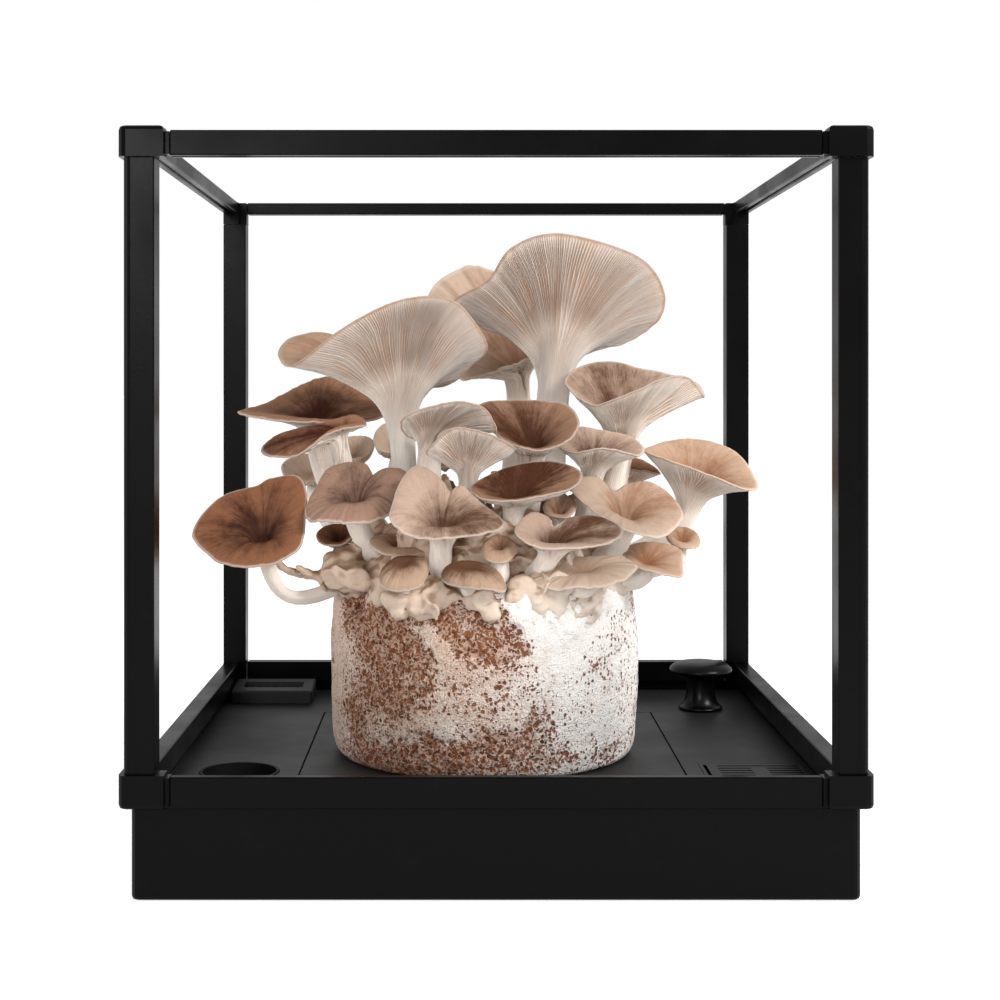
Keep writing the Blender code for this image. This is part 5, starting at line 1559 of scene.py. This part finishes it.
@dataclass
class GrownBase:
    """Knotted pale growth over the block that the stems rise from; sizes in millimetres."""

    voxel: float = 1.14
    knots: int = 320
    petals: int = 380
    front_share: float = 0.6
    reach: tuple[float, float] = (61.0, 51.0)
    centre: tuple[float, float] = (-3.0, -21.0)
    dome: float = 40.0
    floor: float = 114.3
    block_radius: float = 72.0
    block_centre: tuple[float, float] = (-3.0, -11.0)
    seed: int = 11
    buttons: tuple[Lump, ...] = (
        Lump((-43, -79, 113.4), (7.8, 6.0, 5.0)), Lump((-42, -79, 108.0), (4.8, 4.5, 4.4)),
        Lump((-1, -84, 107.2), (4.7, 4.0, 4.2)), Lump((13, -78, 118.0), (7.2, 3.6, 6.5)),
        Lump((21, -77, 113.0), (6.0, 3.6, 6.5)), Lump((29, -74, 108.5), (5.0, 3.6, 5.0)),
        Lump((-20, -79, 114.5), (6.5, 4.5, 3.0)), Lump((36, -71, 103.0), (4.0, 3.0, 3.6)))
    heaps: tuple[Lump, ...] = (
        Lump((-66, -49, 122), (12, 9, 10)), Lump((-46, -54, 121), (8, 7, 8)),
        Lump((-28, -56, 134), (13, 8, 11)), Lump((2, -57, 134), (14, 8, 10)),
        Lump((27, -58, 126), (14, 10, 9)), Lump((-12, -62, 122), (14, 8, 8)),
        Lump((-16, -12, 150), (30, 12, 24)), Lump((22, -10, 147), (24, 12, 22)),
        Lump((22, -73, 111), (11, 5, 9)), Lump((38, -65, 107), (9, 5, 9)), Lump((-30, -77, 113), (8, 4, 5)))
    heap_petals: int = 34
    curls: tuple[Place, ...] = ((-3.5, -84.0, 114.0), (-61.0, -62.0, 121.0), (30.0, -76.0, 121.0))
    curl_radius: float = 4.2
    curl_balls: int = 11
    dome_power: float = 0.55
    fold_height: float = 0.75
    wrinkle_height: float = 0.32
    grain_height: float = 0.18
    sunk: float = 0.5
    hang: float = 13.0
    lobe_radii: Ramp = (2.8, 7.8)
    lobe_length: Ramp = (0.6, 1.1)
    lobe_thickness: float = 1.9
    heap_balls: int = 24
    lip_balls: int = 120
    stem_balls: int = 7
    stem_share: float = 0.34
    strands: tuple[tuple[Place, ...], ...] = (
        ((-101, -50, 130), (-97, -49, 124), (-90, -47, 121), (-82, -44, 120), (-72, -40, 121)),
        ((-90, -52, 125), (-84, -50, 121), (-76, -47, 118), (-66, -44, 117)),
        ((-74, -54, 127), (-68, -52, 121), (-60, -50, 116)),
        ((52, -60, 128), (50, -56, 120), (46, -52, 114)))

    def rise(self, out: np.ndarray) -> np.ndarray:
        """Height of the dome at a share of its reach."""
        return self.dome * np.maximum(0.0, 1.0 - out**2) ** self.dome_power

    def knotted(self, draw: np.random.Generator) -> tuple[np.ndarray, np.ndarray]:
        """Round knots that fill the dome.

        Args:
            draw: random numbers.

        Returns:
            Their middles and half-sizes.
        """
        angle = draw.uniform(0, 2 * np.pi, self.knots)
        out = np.sqrt(draw.uniform(0, 1, self.knots))
        middles = np.stack([self.centre[0] + self.reach[0] * out * np.cos(angle),
                            self.centre[1] + self.reach[1] * out * np.sin(angle),
                            self.floor + 1.0 + self.rise(out) * draw.uniform(0.0, 0.8, self.knots)], 1)
        return middles, draw.uniform(3.5, 7.5, (self.knots, 1)) * (1.0, 1.0, 0.85)

    def curled(self, draw: np.random.Generator, unit: np.ndarray) -> np.ndarray:
        """Small curled lobes that have not opened into caps, standing out of the dome all round.

        Args:
            draw: random numbers.
            unit: points of a ball of radius 1.

        Returns:
            Points by lobe.
        """
        count = self.petals
        front = draw.uniform(0.0, 1.0, count) < self.front_share
        turn = np.where(front, draw.normal(-0.5 * np.pi, 0.85, count), draw.uniform(0, 2 * np.pi, count))
        out = draw.uniform(0.55, 1.06, count)
        places = np.stack([self.centre[0] + self.reach[0] * out * np.cos(turn),
                           self.centre[1] + self.reach[1] * out * np.sin(turn),
                           self.floor + self.rise(out)], 1)
        facing = np.stack([np.cos(turn), np.sin(turn), draw.uniform(0.1, 2.2, count)], 1)
        for heap in self.heaps:
            away = draw.normal(0.0, 1.0, (self.heap_petals, 3)) + (0.0, -0.9, 0.3)
            away /= np.linalg.norm(away, axis=1, keepdims=True)
            places = np.concatenate([places, np.array(heap.middle) + away * heap.half])
            facing = np.concatenate([facing, away])
        count = len(places)
        facing += draw.normal(0.0, 0.35, (count, 3))
        facing /= np.linalg.norm(facing, axis=1, keepdims=True)
        side = np.cross(facing, draw.normal(0.0, 1.0, (count, 3)))
        side /= np.linalg.norm(side, axis=1, keepdims=True)
        third = np.cross(facing, side)
        wide = draw.uniform(*self.lobe_radii, (count, 1))
        long = wide * draw.uniform(*self.lobe_length, (count, 1))
        x, y = unit[None, :, 0] * wide, unit[None, :, 1] * long
        round_at = np.arctan2(unit[:, 1], unit[:, 0])[None]
        far = (unit[:, 0] ** 2 + unit[:, 1] ** 2)[None]
        wave = np.cos(3 * round_at + draw.uniform(0, 6.3, (count, 1)))
        wave += 0.8 * np.cos(2 * round_at + draw.uniform(0, 6.3, (count, 1)))
        cup = draw.uniform(0.5, 4.5, (count, 1)) * far + draw.uniform(0.4, 1.2, (count, 1)) * wave * far
        z = unit[None, :, 2] * self.lobe_thickness - cup * draw.choice((-1.0, 1.0, 1.0), (count, 1))
        flat = x[..., None] * side[:, None] + y[..., None] * third[:, None] + z[..., None] * facing[:, None]
        return places[:, None] + flat

    def lumps(self) -> tuple[np.ndarray, np.ndarray]:
        """Balls the growth is merged from: knots, stem feet, heaps, strands, the lip and the curls.

        Returns:
            Their middles and half-sizes.
        """
        draw = np.random.default_rng(self.seed)
        first = self.knotted(draw)
        middles, halves = [first[0]], [first[1]]

        def add(places: np.ndarray, sizes: np.ndarray) -> None:
            """Keep balls at these places."""
            middles.append(places)
            halves.append(np.broadcast_to(sizes, (len(places), 3)))

        for shape in CLUSTER:
            joint, foot = shape.ends()
            lean = joint - foot
            share = np.linspace(0.0, self.stem_share, self.stem_balls)[:, None]
            bow = lean * (1.0, 1.0, 0.0) * (0.22 * np.sin(np.pi * share))
            swell = shape.stem[1] * np.linspace(1.35, 0.8, self.stem_balls)[:, None]
            add(foot + lean * share - bow - (0.0, 0.0, shape.sag) * np.sin(np.pi * share), swell)
        for heap in self.heaps:
            away = draw.normal(0.0, 1.0, (self.heap_balls, 3))
            away *= draw.uniform(0.1, 0.8, (self.heap_balls, 1)) / np.linalg.norm(away, axis=1, keepdims=True)
            add(np.array(heap.middle) + away * heap.half, draw.uniform(3.0, 5.5, (self.heap_balls, 1)))
        for strand in self.strands:
            path = np.array(strand, float)
            place = np.linspace(0, len(path) - 1, 40)
            fine = np.stack([np.interp(place, np.arange(len(path)), path[:, k]) for k in range(3)], 1)
            fine = (fine + np.roll(fine, 1, 0) + np.roll(fine, -1, 0))[1:-1] / 3
            add(fine, np.linspace(1.5, 2.8, 38)[:, None])
        count = self.lip_balls
        front = np.radians(draw.uniform(-84, 84, count))
        low_right = 0.5 + 0.5 * np.tanh((np.degrees(front) - 2.0) / 14.0)
        drop = draw.uniform(-3.0, 5.0, count)
        drop -= draw.uniform(0.0, 11.0, count) * low_right * (np.degrees(front) < 40)
        out = self.block_radius - draw.uniform(1.0, 4.0, count)
        lip = np.stack([self.block_centre[0] + out * np.sin(front),
                        self.block_centre[1] - out * np.cos(front), self.floor - 1.0 + drop], 1)
        add(lip, draw.uniform(1.6, 4.4, (count, 1)) * (1.0, 0.8, 1.1))
        balls = self.curl_balls
        turn = np.linspace(0, 2 * np.pi, balls + 1)[:-1]
        ring = np.stack([np.cos(turn), np.zeros(balls), np.sin(turn)], 1) * self.curl_radius
        ring = ring * np.linspace(0.8, 1.15, balls)[:, None]
        for curl in self.curls:
            add(np.array(curl) + ring, np.linspace(1.7, 2.6, balls)[:, None])
            add(np.array([curl]) + (0.0, 2.2, 0.0), np.full((1, 3), 3.4))
        for button in self.buttons:
            add(np.array([button.middle], float), np.array([button.half], float))
        return np.concatenate(middles), np.concatenate(halves)

    @staticmethod
    def ball(fineness: int) -> tuple[np.ndarray, np.ndarray]:
        """Make a ball of radius 1.

        Args:
            fineness: how many times an icosahedron is divided.

        Returns:
            Its points and its faces.
        """
        ball = bmesh.new()
        bmesh.ops.create_icosphere(ball, subdivisions=fineness, radius=1.0)
        unit = np.array([v.co for v in ball.verts])
        faces = np.array([[v.index for v in f.verts] for f in ball.faces])
        ball.free()
        return unit, faces

    def build(self) -> bpy.types.Object:
        """Merge the lumps and lobes into one skin and work fine relief into it.

        Returns:
            The finished piece.
        """
        middles, halves = self.lumps()
        unit, faces = self.ball(2)
        fine_unit, fine_faces = self.ball(3)
        lobes = self.curled(np.random.default_rng(self.seed + 5), fine_unit)
        balls = (middles[:, None] + unit[None] * halves[:, None]).reshape(-1, 3)
        points = np.concatenate([balls, lobes.reshape(-1, 3)]) * MM
        first = (faces[None] + (np.arange(len(middles)) * len(unit))[:, None, None]).reshape(-1, 3)
        later = (fine_faces[None] + (np.arange(len(lobes)) * len(fine_unit))[:, None, None]).reshape(-1, 3)
        joined = np.concatenate([first, later + len(balls)])
        obj = mesh_object("knotted_growth", points, joined, GrowthFinish().build())
        merge = obj.modifiers.new("merge", "REMESH")
        merge.mode = "VOXEL"
        merge.voxel_size = self.voxel * MM
        ease = obj.modifiers.new("ease", "SMOOTH")
        ease.factor = 0.5
        ease.iterations = 2
        plain_copy(obj)
        self.knead(obj)
        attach(obj, ROOT)
        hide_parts("grown_base")
        return obj

    def knead(self, obj: bpy.types.Object) -> None:
        """Push the skin in and out along its normals by fine clouds and store the relief.

        Args:
            obj: the merged growth.
        """
        mesh = obj.data
        count = len(mesh.vertices)
        spots, facing = np.empty(count * 3), np.empty(count * 3)
        mesh.vertices.foreach_get("co", spots)
        mesh.vertices.foreach_get("normal", facing)
        spots, facing = spots.reshape(-1, 3), facing.reshape(-1, 3)
        folds = 1.0 - np.abs(Clouds(self.seed).at(spots / MM, 7.5, 3, 0.5)) * 2.6
        fine = Clouds(self.seed + 1).at(spots / MM, 2.1, 3, 0.6)
        wrinkles = 1.0 - np.abs(Clouds(self.seed + 2).at(spots / MM, 3.4, 2, 0.5)) * 3.0
        push = self.fold_height * folds + self.wrinkle_height * wrinkles
        push = push + self.grain_height * fine - self.sunk
        spots = spots + facing * (push * MM)[:, None]
        spots[:, 2] = np.maximum(spots[:, 2], (self.floor - self.hang) * MM)
        mesh.vertices.foreach_set("co", spots.ravel())
        store(mesh, "fold", folds)
        x, z = spots[:, 0] / MM, spots[:, 2] / MM
        low = np.clip((self.floor + 8.0 - z) / 14.0, 0.0, 1.0) * np.clip((x - 20.0) / 22.0, 0.0, 1.0)
        left = 0.2 * np.clip((self.floor + 3.0 - z) / 8.0, 0.0, 1.0)
        chalk = np.clip(np.maximum(low, left) + 0.5 * fine * (low > 0.05), 0.0, 1.0)
        store(mesh, "chalk", chalk)
        mesh.update()


# ---------------------------------------------------------------- case
@dataclass
class Case:
    """Finish of the frame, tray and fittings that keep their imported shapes."""

    case_nodes: tuple[str, ...] = (
        "base_tub", "plug_knob", "lower_rail", "top_rail", "post", "lower_corner", "upper_corner")
    deck_nodes: tuple[str, ...] = ("tray_deck", "middle_panel", "vent_box")
    vent_nodes: tuple[str, ...] = ("water_well", "vent_box_grille")
    case: BlackPlastic = BlackPlastic()
    knob: BlackPlastic = BlackPlastic("knob_black", roughness=0.33, gloss=0.13)
    deck: BlackPlastic = BlackPlastic(
        "deck_black", (0.0115, 0.0115, 0.012), (0.018, 0.018, 0.0185), roughness=0.5, grain=900.0, gloss=0.24)
    vent: BlackPlastic = BlackPlastic(
        "vent_black", (0.003, 0.003, 0.003), (0.006, 0.006, 0.006), roughness=0.6, grain=900.0, gloss=0.15)
    fan_colour: Colour = (0.0105, 0.0105, 0.011)
    knob_sides: int = 72
    knob_rounding: int = 2
    corner_cut: float = 0.25
    knob_outline: tuple[tuple[float, float], ...] = (
        (0, 0), (11.8, 0), (12.0, 1.4), (10.2, 2.4), (8.6, 5.0), (7.6, 9.0), (7.4, 14.5), (7.9, 17.6),
        (13.5, 18.2), (16.7, 19.6), (17.0, 22.0), (14.0, 24.6), (9.0, 25.7), (4.0, 26.0), (0.0, 26.0))

    def dress(self, frame: dict) -> list[bpy.types.Object]:
        """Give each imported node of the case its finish, and turn the knob.

        Args:
            frame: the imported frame.

        Returns:
            The finished pieces.
        """
        case = self.case.build()
        deck = self.deck.build()
        vent = self.vent.build()
        fan = GrilleFinish("fan_grille_black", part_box("fan_grille")[1].z, self.fan_colour).build()
        pieces = [self.turn_knob()]
        for name, obj in frame["nodes"].items():
            if name == "fan_grille":
                finish = fan
            elif name in self.deck_nodes:
                finish = deck
            elif name in self.vent_nodes:
                finish = vent
            elif name.startswith(self.case_nodes):
                finish = case
            else:
                continue
            self.paint(obj, finish)
            pieces.append(obj)
        return pieces

    def outline(self, tall: float) -> np.ndarray:
        """The knob's rounded outline.

        Args:
            tall: the knob's height in millimetres.

        Returns:
            Radius and height from the foot up, one row each.
        """
        outline = np.array(self.knob_outline)
        outline[:, 1] *= tall / outline[-1, 1]
        near, far = 1.0 - self.corner_cut, self.corner_cut
        for _ in range(self.knob_rounding):
            ahead = np.roll(outline, -1, 0)[:-1]
            cut = np.stack([outline[:-1] * near + ahead * far, outline[:-1] * far + ahead * near], 1)
            outline = np.concatenate([outline[:1], cut.reshape(-1, 2), outline[-1:]])
        return outline[1:-1]

    def turn_knob(self) -> bpy.types.Object:
        """Turn the plug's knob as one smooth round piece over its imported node.

        Returns:
            The finished knob.
        """
        low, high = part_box("plug_knob")
        middle = (np.array(low.to_tuple()) + np.array(high.to_tuple())) / 2
        outline = self.outline((high.z - low.z) / MM)
        rows, columns = len(outline), self.knob_sides
        turn = 2 * np.pi * np.arange(columns) / columns
        rings = np.stack([outline[:, :1] * np.cos(turn), outline[:, :1] * np.sin(turn),
                          np.repeat(outline[:, 1:], columns, 1)], 2).reshape(-1, 3) * MM
        start = np.arange(rows - 1)[:, None] * columns + np.arange(columns)
        beside = np.roll(start, -1, 1)
        under, over = rows * columns, rows * columns + 1
        sides = [np.stack([start, beside, beside + columns], 2),
                 np.stack([start, beside + columns, start + columns], 2)]
        ends = [np.stack([beside[0], start[0], np.full(columns, under)], 1),
                np.stack([start[-1] + columns, beside[-1] + columns, np.full(columns, over)], 1)]
        faces = np.concatenate([side.reshape(-1, 3) for side in sides] + ends)
        points = np.concatenate([rings, [(0.0, 0.0, 0.0), (0.0, 0.0, high.z - low.z)]])
        points += (middle[0], middle[1], low.z)
        obj = mesh_object("smooth_knob", points, faces, self.knob.build())
        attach(obj, ROOT)
        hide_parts("plug_knob")
        return obj

    @staticmethod
    def paint(obj: bpy.types.Object, material: bpy.types.Material) -> None:
        """Put one material in an object's slot.

        Args:
            obj: the piece.
            material: its finish.
        """
        if obj.material_slots:
            obj.material_slots[0].material = material
        else:
            obj.data.materials.append(material)


# ---------------------------------------------------------------- camera and light
@dataclass(frozen=True)
class SoftLight:
    """A square area light, in metres and watts; a sheen light is seen in gloss and lights nothing else."""

    name: str
    place: Place
    size: float
    power: float
    sheen_only: bool = False


@dataclass
class Studio:
    """Level camera in front, a white floor and soft light from the upper right."""

    distance: float = 0.831
    eye_height: float = 0.2090
    eye_side: float = -0.0138
    focal_px: float = 1690.0
    frame_px: float = 1000.0
    vanishing_px: tuple[float, float] = (462.0, 384.0)
    sensor_mm: float = 36.0
    room_light: float = 0.48
    mirrored_light: float = 0.5
    floor_side: float = 60.0
    floor_drop: float = 0.0002
    floor_glow: float = 0.62
    floor_pale: tuple[Colour, Colour] = ((0.90, 0.90, 0.90), (0.93, 0.93, 0.93))
    white: Colour = (1.0, 1.0, 1.0)
    aim: Place = (0.0, 0.0, 0.16)
    lights: tuple[SoftLight, ...] = (
        SoftLight("key_right", (0.90, -0.70, 0.85), 0.40, 17.5),
        SoftLight("front_left", (-0.78, -2.4, 0.80), 0.8, 14.0),
        SoftLight("case_sheen", (-0.66, -2.4, 0.70), 0.5, 7.0, sheen_only=True),
        SoftLight("side_left", (-1.3, -0.25, 0.45), 0.6, 4.0))

    def camera(self) -> None:
        """Add the camera, shifted so that its level view frames the whole case."""
        data = bpy.data.cameras.new("photo_camera")
        data.sensor_width = self.sensor_mm
        data.lens = self.focal_px / self.frame_px * self.sensor_mm
        data.shift_x = (self.frame_px / 2 - self.vanishing_px[0]) / self.frame_px
        data.shift_y = -(self.frame_px / 2 - self.vanishing_px[1]) / self.frame_px
        obj = bpy.data.objects.new("photo_camera", data)
        obj.location = (self.eye_side, -self.distance, self.eye_height)
        obj.rotation_euler = (math.radians(90), 0.0, 0.0)
        bpy.context.scene.collection.objects.link(obj)
        bpy.context.scene.camera = obj

    def light(self, light: SoftLight) -> None:
        """Add a soft area light that faces the cluster.

        Args:
            light: its place, size and power.
        """
        data = bpy.data.lights.new(light.name, "AREA")
        data.size = light.size
        data.energy = light.power
        obj = bpy.data.objects.new(light.name, data)
        obj.visible_diffuse = not light.sheen_only
        obj.location = light.place
        obj.rotation_euler = (Vector(self.aim) - Vector(light.place)).to_track_quat("-Z", "Y").to_euler()
        bpy.context.scene.collection.objects.link(obj)

    def room(self) -> bpy.types.World:
        """Make a room that is white behind the object, and dimmer in gloss and as a source of light.

        Returns:
            The world.
        """
        world = bpy.data.worlds.new("white_room")
        world.use_nodes = True
        wiring = Wiring()
        wiring.tree = world.node_tree
        path = wiring.node("ShaderNodeLightPath").outputs
        mirrored = wiring.times(path["Is Glossy Ray"], self.mirrored_light)
        seen = wiring.math("MAXIMUM", path["Is Camera Ray"], mirrored)
        levels = {"Value": seen, "To Min": self.room_light, "To Max": 1.0}
        strength = wiring.node("ShaderNodeMapRange", levels)
        room = wiring.tree.nodes["Background"]
        wiring.feed(room.inputs["Color"], self.white)
        wiring.feed(room.inputs["Strength"], strength.outputs["Result"])
        return world

    def floor(self) -> bpy.types.Object:
        """Make the pale floor.

        Returns:
            The floor.
        """
        shader = Shader("floor_white")
        cloud = shader.noise(shader.place(), 3.0, 2.0)
        shader.set(Base_Color=shader.mix(cloud, *self.floor_pale), Roughness=0.9, Emission_Color=self.white,
                   Emission_Strength=self.floor_glow)
        signs = np.array([(-1, -1), (1, -1), (1, 1), (-1, 1)])
        corners = np.column_stack([signs * self.floor_side / 2, np.full(4, -self.floor_drop)])
        return mesh_object("floor", corners, np.array([[0, 1, 2, 3]]), shader.material)

    def build(self) -> None:
        """Set up world, floor, lights and camera."""
        scene = bpy.context.scene
        scene.view_settings.view_transform = "Standard"
        scene.world = self.room()
        floor = self.floor()
        for light in self.lights:
            self.light(light)
        self.camera()


# ---------------------------------------------------------------- whole kit
def report(pieces: list[bpy.types.Object]) -> None:
    """Note each finished piece in the log."""
    for piece in pieces:
        LOG.info("%s: %d points", piece.name, len(piece.data.vertices))


def main() -> None:
    """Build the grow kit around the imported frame."""
    logging.basicConfig(level=logging.INFO, format="%(name)s: %(message)s")
    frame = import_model()
    Studio().build()
    report(Case().dress(frame))
    report(Cluster().build())
    report([Block().build()])
    report([GrownBase().build()])


if __name__ == "__main__":
    main()
